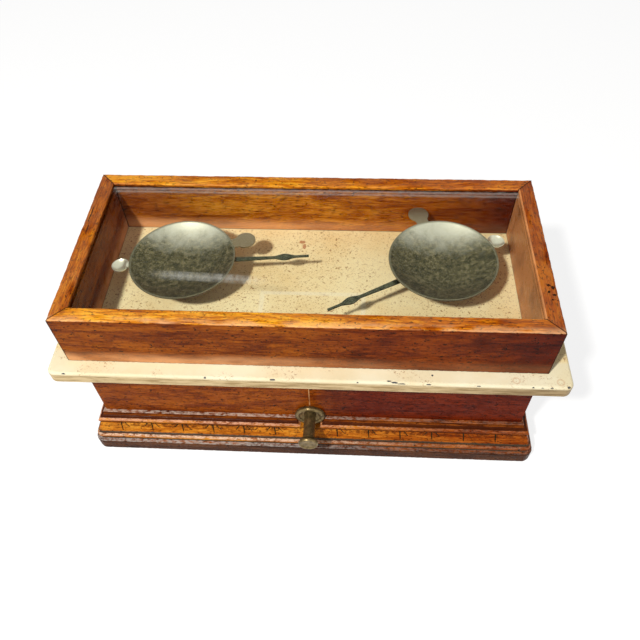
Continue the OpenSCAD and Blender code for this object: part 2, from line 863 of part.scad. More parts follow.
module centre_truss() {
    in = centre_half - upright_w;
    color("dimgray") difference() {
        union() {
            upright_plate(truss_t) difference() {
                round_rect(-centre_half, plate_top, centre_half, upper_z + centre_rise, centre_corner_r);
                round_rect(-in, foot_top + centre_web, in, mid_z - crossbar_h / 2, window_r);
                round_rect(-in, mid_z + crossbar_h / 2, in, upper_z + 2 * centre_rise, window_r);
            }
            block(-centre_foot_half, centre_foot_half, -centre_half - centre_foot_lip,
                centre_half + centre_foot_lip, plate_top, foot_top);
        }
        band_cuts(centre_half);
        truss_foot_places() rod(plate_screw_r + run_fit, -foot_t - 1, 1);
    }
}

module truss_screws() {
    color("gray") truss_foot_places() screw(plate_screw_r, foot_t + plate_t - 1);
}

// A band across a truss, with its ends folded down over the uprights
module bands(half) {
    for (z = [upper_z, lower_z]) difference() {
        union() {
            block(-band_w / 2, band_w / 2, -half, half, z - band_t / 2, z + band_t / 2);
            for (y = [-1, 1]) scale([1, y, 1])
                block(-band_w / 2, band_w / 2, half, half + band_t, z + band_t / 2 - tab_l, z + band_t / 2);
        }
        for (y = [-1, 1]) scale([1, y, 1]) translate([0, half - 1, z + tab_screw_z])
            rod_y(tab_screw_r + run_fit, 0, band_t + 2);
    }
}

module band_screws(half) {
    for (z = [upper_z, lower_z], y = [-1, 1]) scale([1, y, 1])
        translate([0, half + band_t, z + tab_screw_z]) rotate([-90, 0, 0])
            screw(tab_screw_r, upright_w / 2);
}

module left_bands() {
    color("steelblue") at_end(LEFT) bands(truss_half);
}

module right_bands() {
    color("steelblue") at_end(RIGHT) bands(truss_half);
}

module centre_bands() {
    color("steelblue") bands(centre_half);
}

module left_band_screws() {
    color("gray") at_end(LEFT) band_screws(truss_half);
}

module right_band_screws() {
    color("gray") at_end(RIGHT) band_screws(truss_half);
}

module centre_band_screws() {
    color("gray") band_screws(centre_half);
}

// Beams: a pair of tapered bars that stay parallel
function clamp_l(x) = x == 0 ? mid_clamp_l : end_clamp_l;
function clamp_screw_x(x) = clamp_l(x) / 4 + band_w / 4 + band_play / 2;

module clamp_screw_places() {
    for (x = [-arm, 0, arm], side = [-1, 1])
        translate([x + side * clamp_screw_x(x), 0, band_half + clamp_h]) children();
}

module beam() {
    end = arm + beam_over;
    hole_start = 25;
    hole_step = 15;
    hole_r = 0.32 * beam_end_h;
    hole_z = -band_half - 0.55 * beam_end_h;
    difference() {
        translate([0, beam_w / 2, -band_half]) rotate([90, 0, 0]) linear_extrude(beam_w)
            polygon([[-end, 0], [end, 0], [end, -beam_end_h], [beam_flat, -beam_mid_h],
                [-beam_flat, -beam_mid_h], [-end, -beam_end_h]]);
        clamp_screw_places() rod(clamp_screw_r + run_fit, -clamp_screw_grip - thread_end, 0);
        for (side = [-1, 1], k = [0:3]) translate([side * (hole_start + hole_step * k), 0, hole_z])
            rod_y(hole_r, -beam_w, beam_w);
    }
}

module clamps(stem_hole) {
    slot_half = band_w / 2 + band_play;
    top = band_half + clamp_h;
    difference() {
        for (x = [-arm, 0, arm]) translate([x, 0, 0]) difference() {
            block(-clamp_l(x) / 2, clamp_l(x) / 2, -beam_w / 2, beam_w / 2, -band_half, top);
            block(-slot_half, slot_half, -beam_w, beam_w, -band_half - 1, band_half);
        }
        clamp_screw_places() rod(clamp_screw_r + run_fit, -2 * band_half - clamp_h - 1, 1);
        if (stem_hole) rod(poise_stem_r + run_fit, stem_foot, top + 1);
    }
}

module upper_beam() {
    color("goldenrod") on_beam(upper_z) beam();
}

module lower_beam() {
    color("goldenrod") on_beam(lower_z) beam();
}

module upper_clamps() {
    color("darkgoldenrod") on_beam(upper_z) clamps(true);
}

module lower_clamps() {
    color("darkgoldenrod") on_beam(lower_z) clamps(false);
}

module upper_clamp_screws() {
    color("gray") on_beam(upper_z) clamp_screw_places() screw(clamp_screw_r, clamp_screw_grip);
}

module lower_clamp_screws() {
    color("gray") on_beam(lower_z) clamp_screw_places() screw(clamp_screw_r, clamp_screw_grip);
}

module poise_stem() {
    color("gray") on_beam(upper_z) {
        rod(poise_stem_r, stem_foot + 0.2, stem_top);
        rod(poise_stem_r + 1.2, band_half + clamp_h, band_half + clamp_h + 1);
    }
}

module poise_nut() {
    flutes = 16;
    flute_r = 0.8;
    color("goldenrod") on_beam(upper_z) difference() {
        rod(poise_r, poise_z - poise_t / 2, poise_z + poise_t / 2);
        rod(poise_stem_r + run_fit, poise_z - poise_t, poise_z + poise_t);
        for (k = [1:flutes]) rotate([0, 0, 360 * k / flutes]) translate([poise_r + 0.3, 0, 0])
            rod(flute_r, poise_z - poise_t, poise_z + poise_t);
    }
}

// Base plate and what stands on it
module bracket_foot_places() {
    for (x = [-1, 1]) translate([x * bracket_screw_x, bracket_y, foot_top]) children();
}

module stop_places() {
    for (side = [-1, 1]) translate([side * stop_x, 0, 0]) children();
}

module guide_places() {
    for (side = [-1, 1]) translate([side * guide_x, cam_y, 0]) children();
}

module base_plate() {
    color("dimgray") difference() {
        translate([0, 0, floor_t]) linear_extrude(plate_t)
            round_rect(-plate_l / 2, -plate_d / 2, plate_l / 2, plate_d / 2, truss_corner_r);
        plate_screw_places() rod(plate_screw_r + run_fit, -plate_t - 1, 1);
        truss_foot_places() rod(plate_screw_r + run_fit, -foot_t - plate_t + thread_end, 1);
        bracket_foot_places() rod(plate_screw_r + run_fit, -foot_t - plate_t + thread_end, 1);
        stop_places() rod(stop_r + run_fit, floor_t + thread_end, plate_top + 1);
        guide_places() rod(stop_r + run_fit, floor_t + thread_end, plate_top + 1);
    }
}

module base_plate_screws() {
    color("gray") plate_screw_places() screw(plate_screw_r, plate_t + floor_t - plate_screw_r - thread_end);
}

module stop_screws() {
    nut_r = stop_r * 2.2;
    nut_h = stop_r * 1.5;
    cap_r = stop_r * 1.5;
    cap_h = stop_r * 0.8;
    color("gray") stop_places() {
        rod(stop_r, floor_t + 2 * thread_end, stop_top);
        translate([0, 0, plate_top]) cylinder(r = nut_r, h = nut_h, $fn = 6);
        rod(cap_r, stop_top - cap_h, stop_top);
    }
}

// Arrest: knob, ring, spindle, cam and lifter
module knob_ring() {
    lip_r = 1.9;
    floor_h = 0.9;
    hole = knob_stem_r + 0.5;
    color("darkolivegreen") translate([0, front_y, knob_z]) rotate([90, 0, 0]) rotate_extrude() {
        polygon([[hole, 0], [ring_r - 0.5, 0], [ring_r, 1.2], [ring_r - lip_r, 2.4],
            [ring_r - 3.4, 2.6], [hole + 1.3, floor_h], [hole, floor_h]]);
        translate([ring_r - lip_r, lip_r]) circle(lip_r);
    }
}

module front_bush() {
    flange_w = 2.5;
    flange_t = 2;
    color("darkgoldenrod") difference() {
        translate([0, 0, knob_z]) {
            rod_y(bush_r, front_y + 0.5, front_y + wall_t + 1);
            rod_y(bush_r + flange_w, front_y + wall_t, front_y + wall_t + flange_t);
        }
        translate([0, 0, knob_z]) rod_y(spindle_r + run_fit, front_y - 1, front_y + wall_t + 2 * flange_t);
    }
}

module knob_outline() {
    lip = 0.9;
    rim = 2.6;
    flare = 2.2;
    stem = knob_stem_r;
    top = knob_reach;
    neck = top - rim - flare;
    polygon([[0, 0.5], [stem, 0.5], [stem, neck - 1.6], [stem + 0.8, neck - 1.2],
        [stem + 0.8, neck - 0.2], [stem, neck], [stem + 0.5, neck + 0.4 * flare],
        [button_r - 1.2, neck + 0.8 * flare], [button_r - 0.5, neck + flare],
        [button_r, neck + flare + 0.6], [button_r, top - 1.6], [button_r - 0.35, top - 1.3],
        [button_r - 0.1, top - 0.9], [button_r - 0.6, top - 0.1], [button_r - 0.9, top],
        [button_r - 1.5, top], [button_r - 2.1, top - lip + 0.3],
        [0.4 * button_r, top - lip + 0.1], [0, top - lip + 0.3]]);
}

module arrest_knob() {
    color("darkolivegreen") difference() {
        translate([0, front_y, knob_z]) rotate([90, 0, 0]) rotate_extrude() knob_outline();
        translate([0, 0, knob_z]) rod_y(spindle_r, front_y - knob_hole, front_y + 1);
    }
}

module arrest_spindle() {
    end_y = bracket_y + bracket_t / 2 + 2;
    color("gray") translate([0, 0, knob_z]) rod_y(spindle_r, front_y - knob_hole, end_y);
}

module arrest_cam() {
    steps = 30;
    sweep = 150;
    start = -30;
    hub = cam_radius(start) - 0.3;
    hub_y = cam_y - cam_t / 2 - 3;
    color("darkgoldenrod") difference() {
        union() {
            translate([0, cam_y + cam_t / 2, knob_z]) rotate([90, 0, 0]) linear_extrude(cam_t)
                polygon([for (k = [0:steps]) let (a = start + sweep * k / steps)
                    [-cam_radius(a) * sin(a), cam_radius(a) * cos(a)]]);
            translate([0, 0, knob_z]) rod_y(hub, hub_y, cam_y + cam_t / 2);
        }
        translate([0, 0, knob_z]) rod_y(spindle_r, cam_y - cam_t, cam_y + cam_t);
    }
}

module spindle_bracket() {
    back_y = bracket_y + bracket_t / 2;
    shoulder = bracket_head_r / 2;
    shoulder_x = sqrt(pow(bracket_head_r, 2) - pow(shoulder, 2));
    color("dimgray") difference() {
        union() {
            translate([0, back_y, 0]) rotate([90, 0, 0]) linear_extrude(bracket_t) {
                translate([-bracket_half, plate_top])
                    square([2 * bracket_half, knob_z - plate_top - shoulder]);
                translate([0, knob_z]) circle(bracket_head_r);
                polygon([[-bracket_half, knob_z - shoulder], [bracket_half, knob_z - shoulder],
                    [shoulder_x, knob_z + shoulder], [-shoulder_x, knob_z + shoulder]]);
            }
            block(-bracket_foot_half, bracket_foot_half, back_y - bracket_t, back_y, plate_top, foot_top);
        }
        translate([0, 0, knob_z]) rod_y(spindle_r + run_fit, bracket_y - bracket_t, bracket_y + bracket_t);
        bracket_foot_places() rod(plate_screw_r + run_fit, -foot_t - 1, 1);
    }
}

module bracket_screws() {
    color("gray") bracket_foot_places() screw(plate_screw_r, foot_t + plate_t - 1);
}

// Lifter: a bar along the case with an arm screwed on near each end, and a post and pad on each arm
module lifter_screw_places() {
    for (side = [-1, 1]) translate([side * pad_x, cam_y, bar_top + lifter_arm_h]) children();
}

module lifter_bar() {
    color("dimgray") difference() {
        block(-pad_x - pad_r, pad_x + pad_r, cam_y - bar_w / 2, cam_y + bar_w / 2, bar_z, bar_top);
        guide_places() rod(guide_r + run_fit, bar_z - 1, bar_top + 1);
        lifter_screw_places() rod(clamp_screw_r + run_fit, -lifter_arm_h - bar_h + 1, 1);
    }
}

module lifter_arms() {
    color("dimgray") difference() {
        for (side = [-1, 1]) translate([side * pad_x, 0, 0]) {
            block(-pad_r, pad_r, cam_y - bar_w / 2, 0, bar_top, bar_top + lifter_arm_h);
            rod(pad_r, bar_top, pad_top - pad_t);
        }
        lifter_screw_places() rod(clamp_screw_r + run_fit, -lifter_arm_h - 1, 1);
    }
}

module lifter_screws() {
    color("gray") lifter_screw_places() screw(clamp_screw_r, lifter_arm_h + bar_h - 1 - thread_end);
}

module lifter_pads() {
    color("saddlebrown") for (side = [-1, 1]) translate([side * pad_x, 0, 0])
        rod(pad_r, pad_top - pad_t, pad_top);
}

module lifter_guides() {
    color("gray") guide_places() {
        rod(stop_r, floor_t + 2 * thread_end, plate_top);
        rod(guide_collar_r, plate_top, plate_top + guide_collar_h);
        rod(guide_r, plate_top, bar_top + lift + guide_collar_h);
    }
}

bottom_board();
front_wall();
back_wall();
left_wall();
right_wall();
front_moulding();
back_moulding();
left_moulding();
right_moulding();
corner_blocks();
board_cleats();
cleat_screws();
top_board();
index_line();
cover_front_rail();
cover_back_rail();
cover_left_rail();
cover_right_rail();
cover_glass();
left_pan();
left_pan_washer();
left_pointer();
left_post();
left_truss();
left_bands();
left_band_screws();
right_pan();
right_pan_washer();
right_pointer();
right_post();
right_truss();
right_bands();
right_band_screws();
centre_truss();
centre_bands();
centre_band_screws();
truss_screws();
base_plate();
base_plate_screws();
stop_screws();
upper_beam();
upper_clamps();
upper_clamp_screws();
lower_beam();
lower_clamps();
lower_clamp_screws();
poise_stem();
poise_nut();
knob_ring();
front_bush();
arrest_knob();
arrest_spindle();
arrest_cam();
spindle_bracket();
bracket_screws();
lifter_bar();
lifter_arms();
lifter_screws();
lifter_pads();
lifter_guides();
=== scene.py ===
"""Looks of a torsion prescription balance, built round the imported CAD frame. Metres, +Z up."""

import json
import math

import bpy
import numpy as np
from mathutils import Matrix, Vector

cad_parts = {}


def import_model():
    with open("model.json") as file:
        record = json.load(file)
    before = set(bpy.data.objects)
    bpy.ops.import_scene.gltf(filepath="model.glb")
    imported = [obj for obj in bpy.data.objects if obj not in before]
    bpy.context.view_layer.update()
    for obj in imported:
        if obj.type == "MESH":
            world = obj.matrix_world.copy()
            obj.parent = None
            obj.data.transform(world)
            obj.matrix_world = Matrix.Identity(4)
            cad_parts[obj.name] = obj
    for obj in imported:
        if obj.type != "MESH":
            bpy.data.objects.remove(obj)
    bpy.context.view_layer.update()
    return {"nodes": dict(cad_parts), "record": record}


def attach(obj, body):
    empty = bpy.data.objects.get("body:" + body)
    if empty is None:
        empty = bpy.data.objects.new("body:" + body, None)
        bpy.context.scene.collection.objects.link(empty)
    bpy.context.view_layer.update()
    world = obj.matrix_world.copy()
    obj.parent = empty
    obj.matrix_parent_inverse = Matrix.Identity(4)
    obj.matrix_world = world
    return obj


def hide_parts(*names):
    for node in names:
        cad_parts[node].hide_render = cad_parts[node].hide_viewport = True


MM = 0.001
FRONT, RIGHT, BACK, LEFT = 0, 1, 2, 3

# Axes of the grain: along the case's long sides or its short ones
LONG, SHORT = 0, 1

# Plan sizes and heights of the case, as in the CAD source
BASE_L, BASE_D = 345.4 * MM, 148.4 * MM
COVER_L, COVER_D, COVER_H = 350.0 * MM, 153.5 * MM, 48.6 * MM
COVER_CENTRE = (-1.3 * MM, -3.3 * MM)
BOARD_TOP = 124.4 * MM
KNOB_Z = 46.7 * MM
NOTCH_R = 12.8 * MM

# Cover rails
RAIL_T = 12.0 * MM
RAIL_EDGE_R = 1.2 * MM
GROOVE_Z = 42.9 * MM
GROOVE_H = 3.2 * MM
GROOVE_DEPTH = 4.0 * MM
RAIL_STATION = 0.9 * MM

# Heights and planes of the cover, in the frame
COVER_TOP = BOARD_TOP + COVER_H
INNER_BACK = COVER_CENTRE[1] + COVER_D / 2 - RAIL_T
INNER_RIGHT = COVER_CENTRE[0] + COVER_L / 2 - RAIL_T

# Plinth moulding, from the table up
PLINTH_P, PLINTH_H, PLINTH_R, PLINTH_TOP_R = 15.0 * MM, 14.0 * MM, 3.0 * MM, 1.2 * MM
LOWER_BEAD_P, LOWER_BEAD_Z, BEAD_R = 13.0 * MM, 18.9 * MM, 2.9 * MM
BAND_BOTTOM_P, BAND_BOTTOM_Z = 10.2 * MM, 24.4 * MM
BAND_TOP_P, BAND_TOP_Z = 6.6 * MM, 32.7 * MM
UPPER_BEAD_P, UPPER_BEAD_Z = 7.4 * MM, 36.0 * MM
COVE_Z, COVE_R = 38.9 * MM, 2.3 * MM
FILLET_P, MOULD_H = 2.6 * MM, 43.5 * MM
MOULD_STATION = 0.45 * MM

# Plan of the plinth's corners
CORNER_R = 8.0 * MM

# Pans, and the middles of the pointers' dished discs, in plan
PAN_R = 40.0 * MM
PAN_CENTRES = ((-100.47 * MM, 0.0), (100.47 * MM, 0.0))
DISHES = ((-149.3 * MM, -4.7 * MM), (143.2 * MM, 24.1 * MM))

# Carving on the sloping band: one motif is an upright cut between two leaning ones
MOTIF_STEP = 26.3 * MM
MOTIF_START = -3.6 * MM
CUT_DEPTH = 1.0 * MM
CUT_HALF = 0.7 * MM

# Motifs are counted from the middle of a side. These have weaker left and right cuts.
FRONT_MOTIFS, SIDE_MOTIFS = 6, 2
FULL_CUTS = (1.0, 1.0)
WEAK_CUTS = {
    -6: (0.0, 1.0),
    1: (0.5, 0.9),
    2: (0.25, 1.0),
    3: (0.25, 0.9),
    4: (0.8, 1.0),
    5: (0.0, 0.5),
    6: (0.0, 0.0),
}

# Marks in plan: x, y and two radii in mm
HOLES = (
    (168.2, -38.5, 1.7, 1.2),
    (170.8, -40.5, 1.3, 1.7),
    (167.6, -44.5, 1.1, 1.4),
    (171.0, -47.0, 1.5, 1.1),
    (168.8, -51.5, 0.9, 0.8),
    (-173.0, 26.0, 0.5, 9.0),
    (-171.5, 8.0, 0.4, 6.0),
)
CHIPS = (
    (60, -89.8, 2.0, 0.5),
    (64, -90.8, 2.4, 0.6),
    (69, -91.6, 3.0, 0.6),
    (74, -92.2, 2.0, 0.4),
    (88.2, -91.4, 1.8, 0.4),
    (123.5, -91.6, 1.5, 0.5),
    (161.5, -91.6, 1.0, 0.6),
    (168, -91.8, 1.2, 0.7),
    (174.6, -91.6, 1.1, 0.6),
    (186.5, -90.8, 1.4, 1.0),
    (91, -84, 0.8, 0.8),
    (37.6, -91.8, 0.9, 0.8),
    (-177, -91.6, 1.7, 0.8),
    (-72.5, -91.2, 1.0, 0.8),
    (-55, -92.4, 0.8, 0.6),
    (-23.5, -91.3, 2.2, 0.6),
)
BLEMISHES = ((-11, 47, 3.0, 2.0), (-9, 42, 1.6, 3.6))

# Two ring stains on the paint, by their middles in mm, and the faint rectangle
RINGS = ((150.2, -86.4), (181.1, -86.9))
RING_R = 2.4 * MM
GHOST_CENTRE = (1.0 * MM, -22.0 * MM)
GHOST_HALF = (40.0 * MM, 12.0 * MM)

# Dark, middle and light tones of each wood, and its pits
COVER_SIDE_TONES = ((0.1, 0.014, 0.001), (0.26, 0.055, 0.003), (0.38, 0.1, 0.006))
# The rails' tops are paler than their sides: partly painted light on the upward faces, partly fading
COVER_TOP_TONES = ((0.3, 0.06, 0.001), (0.7, 0.23, 0.004), (0.95, 0.46, 0.03))
WALL_TONES = ((0.11, 0.014, 0.001), (0.26, 0.052, 0.002), (0.37, 0.09, 0.005))
MOULDING_TONES = ((0.07, 0.012, 0.002), (0.2, 0.042, 0.004), (0.34, 0.09, 0.01))
# A paler copy of the moulding's wood: painted light for the band and the beads
AMBER_TONES = ((0.28, 0.06, 0.003), (0.56, 0.17, 0.01), (0.74, 0.3, 0.03))
PLINTH_TONES = ((0.03, 0.008, 0.001), (0.07, 0.019, 0.004), (0.13, 0.042, 0.01))
INNER_TONES = ((0.26, 0.12, 0.04), (0.42, 0.22, 0.09), (0.55, 0.32, 0.14))
SHELLAC_PITS = (0.02, 0.004, 0.001)
INNER_PITS = (0.12, 0.05, 0.02)

# Colours painted over the cover, the walls and the moulding
# Painted light on the lit inner face of the right rail
PAINTED_LIGHT_INSIDE = (0.8, 0.34, 0.12)
# Painted light at the foot of the cover, stronger to the left
FOOT_PAINTED_LIGHT = (0.85, 0.42, 0.19)
# Painted shade where the cover meets the board
FOOT_SHADE_LINE = (0.03, 0.008, 0.002)
# Worn arrises, with a painted highlight that is strongest at the front
ARRIS_WEAR_AND_HIGHLIGHT = (0.95, 0.55, 0.28)
WORN_WOOD = (0.9, 0.5, 0.12)
HOLE_DARK = (0.02, 0.006, 0.002)
SEAM_DARK = (0.03, 0.007, 0.002)
# Painted shadow of the board's overhang on the top of the walls
PAINTED_BOARD_SHADOW = (0.03, 0.006, 0.002)
BAND_STAIN = (0.1, 0.02, 0.003)
# Darker steps of the moulding
STEP_DARK = (0.055, 0.045, 0.03)
# Painted shade in the quirks under the beads
QUIRK_SHADE = (0.05, 0.01, 0.003)
CUT_DARK = (0.03, 0.028, 0.014)

# Pale lines along the moulding: painted highlights on the fillet and the two beads, and dust with a painted
# sheen on the plinth's ledge. Heights from and to in mm, amount and colour
HIGHLIGHT_AND_DUST_LINES = (
    (43.1, 43.6, 0.7, (0.6, 0.48, 0.4)),
    (37.0, 38.4, 0.75, (0.8, 0.42, 0.26)),
    (20.0, 21.4, 0.85, (0.86, 0.6, 0.42)),
    (13.7, 14.5, 0.7, (0.5, 0.46, 0.42)),
)

# Colours of the top board
WARM_CREAM = ((0.84, 0.65, 0.33), (0.93, 0.79, 0.46))
PALE_CREAM = ((0.84, 0.73, 0.47), (0.9, 0.83, 0.6))
FINE_SPECK = (0.42, 0.24, 0.1)
COARSE_SPECK = (0.3, 0.13, 0.04)
GHOST_CREAM = (0.92, 0.84, 0.6)
BLEMISH_RED = (0.45, 0.16, 0.06)
RING_BROWN = (0.6, 0.3, 0.12)
EDGE_TANS = ((0.4, 0.27, 0.12), (0.72, 0.55, 0.3))
CHIP_DARK = (0.03, 0.035, 0.055)

# Camera and lamps
CAMERA_PLACE = (0.0319, -0.33645, 0.5114)
CAMERA_TURN = (37.8679, 1.3323, 2.8355)
CAMERA_LENS = 35.886
KEY_PLACE = (-0.497, -0.850, 1.388)
KEY_SIZE = 0.10
KEY_POWER = 24.0
FILL_PLACE = (0.9, -0.5, 0.9)
FILL_SIZE = 1.2
FILL_POWER = 2.0
SKY_LEVEL = 0.22
LAMP_AIM = (0.0, 0.0, 0.1)
WARM_WHITE = (1.0, 0.98, 0.94)
WHITE = (1.0, 1.0, 1.0)
SENSOR_WIDTH = 36.0
CLIP_START = 0.02
FLOOR_HALF = 2.5
FLOOR_PALE = (0.78, 0.78, 0.78)
FLOOR_SHADE = (0.3, 0.3, 0.3)
FLOOR_GLOW = 0.8

# Faces that meet at more than this angle, in degrees, keep a sharp edge
SHARP_ANGLE = 40


# Node graphs


class Graph:
    """Short-hand for one material's node tree. Its methods return sockets."""

    def __init__(self, name):
        self.material = bpy.data.materials.new(name)
        self.material.use_nodes = True
        self.tree = self.material.node_tree
        self.tree.nodes.clear()
        self.place = self.node("TexCoord").outputs["Object"]
        split = self.node("SeparateXYZ", {0: self.place})
        self.x, self.y, self.z = split.outputs

    def set(self, socket, value):
        if isinstance(value, bpy.types.NodeSocket):
            self.tree.links.new(value, socket)
        elif socket.type == "RGBA":
            socket.default_value = (*value[:3], 1.0)
        else:
            socket.default_value = value

    def node(self, kind, inputs=None, **settings):
        made = self.tree.nodes.new("ShaderNode" + kind)
        for name, value in settings.items():
            setattr(made, name, value)
        for name, value in (inputs or {}).items():
            self.set(made.inputs[name], value)
        return made

    def math(self, operation, a, b=0.0):
        return self.node("Math", {0: a, 1: b}, operation=operation).outputs[0]

    def scaled(self, factors):
        """The object's own coordinates, times a factor for each axis."""
        return self.node("Mapping", {"Vector": self.place, "Scale": factors}).outputs[0]

    def noise(self, vector, scale, detail=2.0, roughness=0.5, distortion=0.0):
        inputs = {
            "Vector": vector,
            "Scale": scale,
            "Detail": detail,
            "Roughness": roughness,
            "Distortion": distortion,
        }
        return self.node("TexNoise", inputs).outputs["Fac"]

    def rise(self, value, low, high, start=0.0, end=1.0):
        """Turns smoothly from start to end as the value goes from low to high."""
        inputs = {"Value": value, "From Min": low, "From Max": high, "To Min": start, "To Max": end}
        made = self.node("MapRange", inputs, interpolation_type="SMOOTHSTEP")
        return made.outputs["Result"]

    def near(self, value, centre, half, soft):
        """1 where the value is within half of the centre, and 0 further off than half + soft."""
        off = self.math("ABSOLUTE", self.math("SUBTRACT", value, centre))
        return self.rise(off, half, half + soft, 1.0, 0.0)

    def both(self, *factors):
        made = factors[0]
        for factor in factors[1:]:
            made = self.math("MULTIPLY", made, factor)
        return made

    def ramp(self, value, stops):
        made = self.node("ValToRGB", {"Fac": value})
        stops = list(stops)
        elements = made.color_ramp.elements
        while len(elements) < len(stops):
            elements.new(0.5)
        for element, (place, colour) in zip(elements, stops):
            element.position = place
            element.color = (*colour, 1.0)
        return made.outputs["Color"]

    def mix(self, factor, a, b, blend="MIX"):
        made = self.node("Mix", data_type="RGBA", blend_type=blend)
        self.set(made.inputs["Factor"], factor)
        self.set(made.inputs[6], a)
        self.set(made.inputs[7], b)
        return made.outputs[2]

    def attribute(self, name):
        return self.node("Attribute", attribute_name=name).outputs["Fac"]

    def bump(self, height, distance):
        inputs = {"Height": height, "Distance": distance, "Strength": 1.0}
        return self.node("Bump", inputs).outputs["Normal"]

    def span(self, x, y):
        """Length of the vector x, y."""
        squares = self.math("ADD", self.math("POWER", x, 2.0), self.math("POWER", y, 2.0))
        return self.math("SQRT", squares)

    def away(self, centre):
        """Distance in plan from a place."""
        off_x = self.math("SUBTRACT", self.x, centre[0])
        off_y = self.math("SUBTRACT", self.y, centre[1])
        return self.span(off_x, off_y)

    def band(self, low, high, soft=0.3):
        """1 between two heights, given in mm."""
        middle, half = (low + high) / 2 * MM, (high - low) / 2 * MM
        return self.near(self.z, middle, half, soft * MM)

    def blots(self, marks, ragged, scale):
        """1 inside ragged ellipses in plan, each given as x, y and its two radii in mm."""
        wander = self.math("MULTIPLY", self.noise(self.place, scale, 3, 0.7), ragged)
        made = 0.0
        for x, y, radius_x, radius_y in marks:
            off_x = self.math("DIVIDE", self.math("SUBTRACT", self.x, x * MM), radius_x * MM)
            off_y = self.math("DIVIDE", self.math("SUBTRACT", self.y, y * MM), radius_y * MM)
            off = self.math("ADD", self.span(off_x, off_y), wander)
            made = self.math("MAXIMUM", self.rise(off, 1.0 + ragged / 2, 0.8 + ragged / 2), made)
        return made

    def shaded(self, mask, colour, shade):
        """The colour, times a shade where the mask is 1."""
        return self.mix(mask, colour, self.mix(1.0, colour, shade, "MULTIPLY"))

    def painted(self, colour, amount, *masks, over):
        """The colour with another over it, by an amount times the masks."""
        return self.mix(self.both(*masks, amount), colour, over)

    def surface(self, **inputs):
        """Ends the graph in a Principled shader, whose inputs are named with _ for a space."""
        named = {key.replace("_", " "): value for key, value in inputs.items()}
        shader = self.node("BsdfPrincipled", named)
        self.node("OutputMaterial", {"Surface": shader.outputs[0]})
        return self.material


# Materials


def grain_scale(axis, stretch):
    factors = [1.0, 1.0, 1.0]
    factors[axis] = 1.0 / stretch
    return tuple(factors)


def wood_colour(graph, axis, tones, pits=SHELLAC_PITS):
    """Streaks along the grain, broad stains, small dark pores and a few larger pits."""
    dark, middle, light = tones
    broad = graph.noise(graph.scaled(grain_scale(axis, 6)), 95, 5, 0.65, 0.8)
    fine = graph.noise(graph.scaled(grain_scale(axis, 14)), 1100, 3, 0.65)
    tone = graph.math("ADD", graph.math("MULTIPLY", broad, 0.55), graph.math("MULTIPLY", fine, 0.45))
    colour = graph.ramp(tone, [(0.4, dark), (0.5, middle), (0.58, light)])
    stain = graph.rise(graph.noise(graph.place, 42, 5, 0.7), 0.5, 0.7)
    colour = graph.painted(colour, 0.6, stain, over=dark)
    pore = graph.rise(graph.noise(graph.scaled(grain_scale(axis, 4)), 1100, 2, 0.5), 0.57, 0.66)
    speck = graph.rise(graph.noise(graph.scaled(grain_scale(axis, 1.6)), 480, 3, 0.6), 0.61, 0.67)
    pit = graph.math("MAXIMUM", graph.math("MULTIPLY", pore, 0.6), graph.math("MULTIPLY", speck, 0.9))
    return graph.mix(pit, colour, pits), tone, pit


def wood_bump(graph, tone, pit):
    height = graph.math("SUBTRACT", graph.math("MULTIPLY", tone, 0.6), pit)
    return graph.bump(height, 0.1 * MM)


def darker_right(graph, colour, low, high, shade):
    """Darkens the colour towards the right."""
    return graph.shaded(graph.rise(graph.x, low * MM, high * MM), colour, shade)


def shellacked(graph, colour, tone, pit, specular):
    """Ends a wood's graph with an uneven gloss."""
    gloss = graph.rise(graph.noise(graph.place, 120, 3), 0.3, 0.7, 0.22, 0.4)
    bump = wood_bump(graph, tone, pit)
    return graph.surface(Base_Color=colour, Roughness=gloss, Specular_IOR_Level=specular, Normal=bump)


def seam_mask(graph):
    """Dark mitre seams at the cover's four corners."""
    off_x = graph.math("ABSOLUTE", graph.math("SUBTRACT", graph.x, COVER_CENTRE[0]))
    off_y = graph.math("ABSOLUTE", graph.math("SUBTRACT", graph.y, COVER_CENTRE[1]))
    in_x = graph.math("SUBTRACT", COVER_L / 2, off_x)
    in_y = graph.math("SUBTRACT", COVER_D / 2, off_y)
    across = graph.math("SUBTRACT", in_x, in_y)
    wander = graph.math("MULTIPLY", graph.noise(graph.place, 300), 0.6 * MM)
    return graph.near(graph.math("ADD", across, wander), 0.3 * MM, 0.3 * MM, 0.6 * MM)


def cover_side(graph, axis):
    """Red-brown sides of the rails, with the tone and pits that make their bump."""
    colour, tone, pit = wood_colour(graph, axis, COVER_SIDE_TONES)
    colour = darker_right(graph, colour, -20, 60, (0.7, 0.5, 0.4))
    return darker_right(graph, colour, 100, 165, (0.5, 0.28, 0.4)), tone, pit


def cover_top(graph, axis):
    """Amber tops of the rails, paler than the sides: partly painted light on the upward faces, partly
    fading. Deeper at the back, and redder on the two short rails.
    """
    colour, _, _ = wood_colour(graph, axis, COVER_TOP_TONES)
    colour = darker_right(graph, colour, -30, 120, (0.8, 0.6, 0.4))
    colour = graph.shaded(graph.rise(graph.y, 60 * MM, 64 * MM), colour, (0.9, 0.8, 0.6))
    if axis == SHORT:
        off = graph.math("ABSOLUTE", graph.math("SUBTRACT", graph.x, COVER_CENTRE[0]))
        colour = graph.shaded(graph.rise(off, 160 * MM, 163 * MM), colour, (0.6, 0.42, 0.3))
    return colour


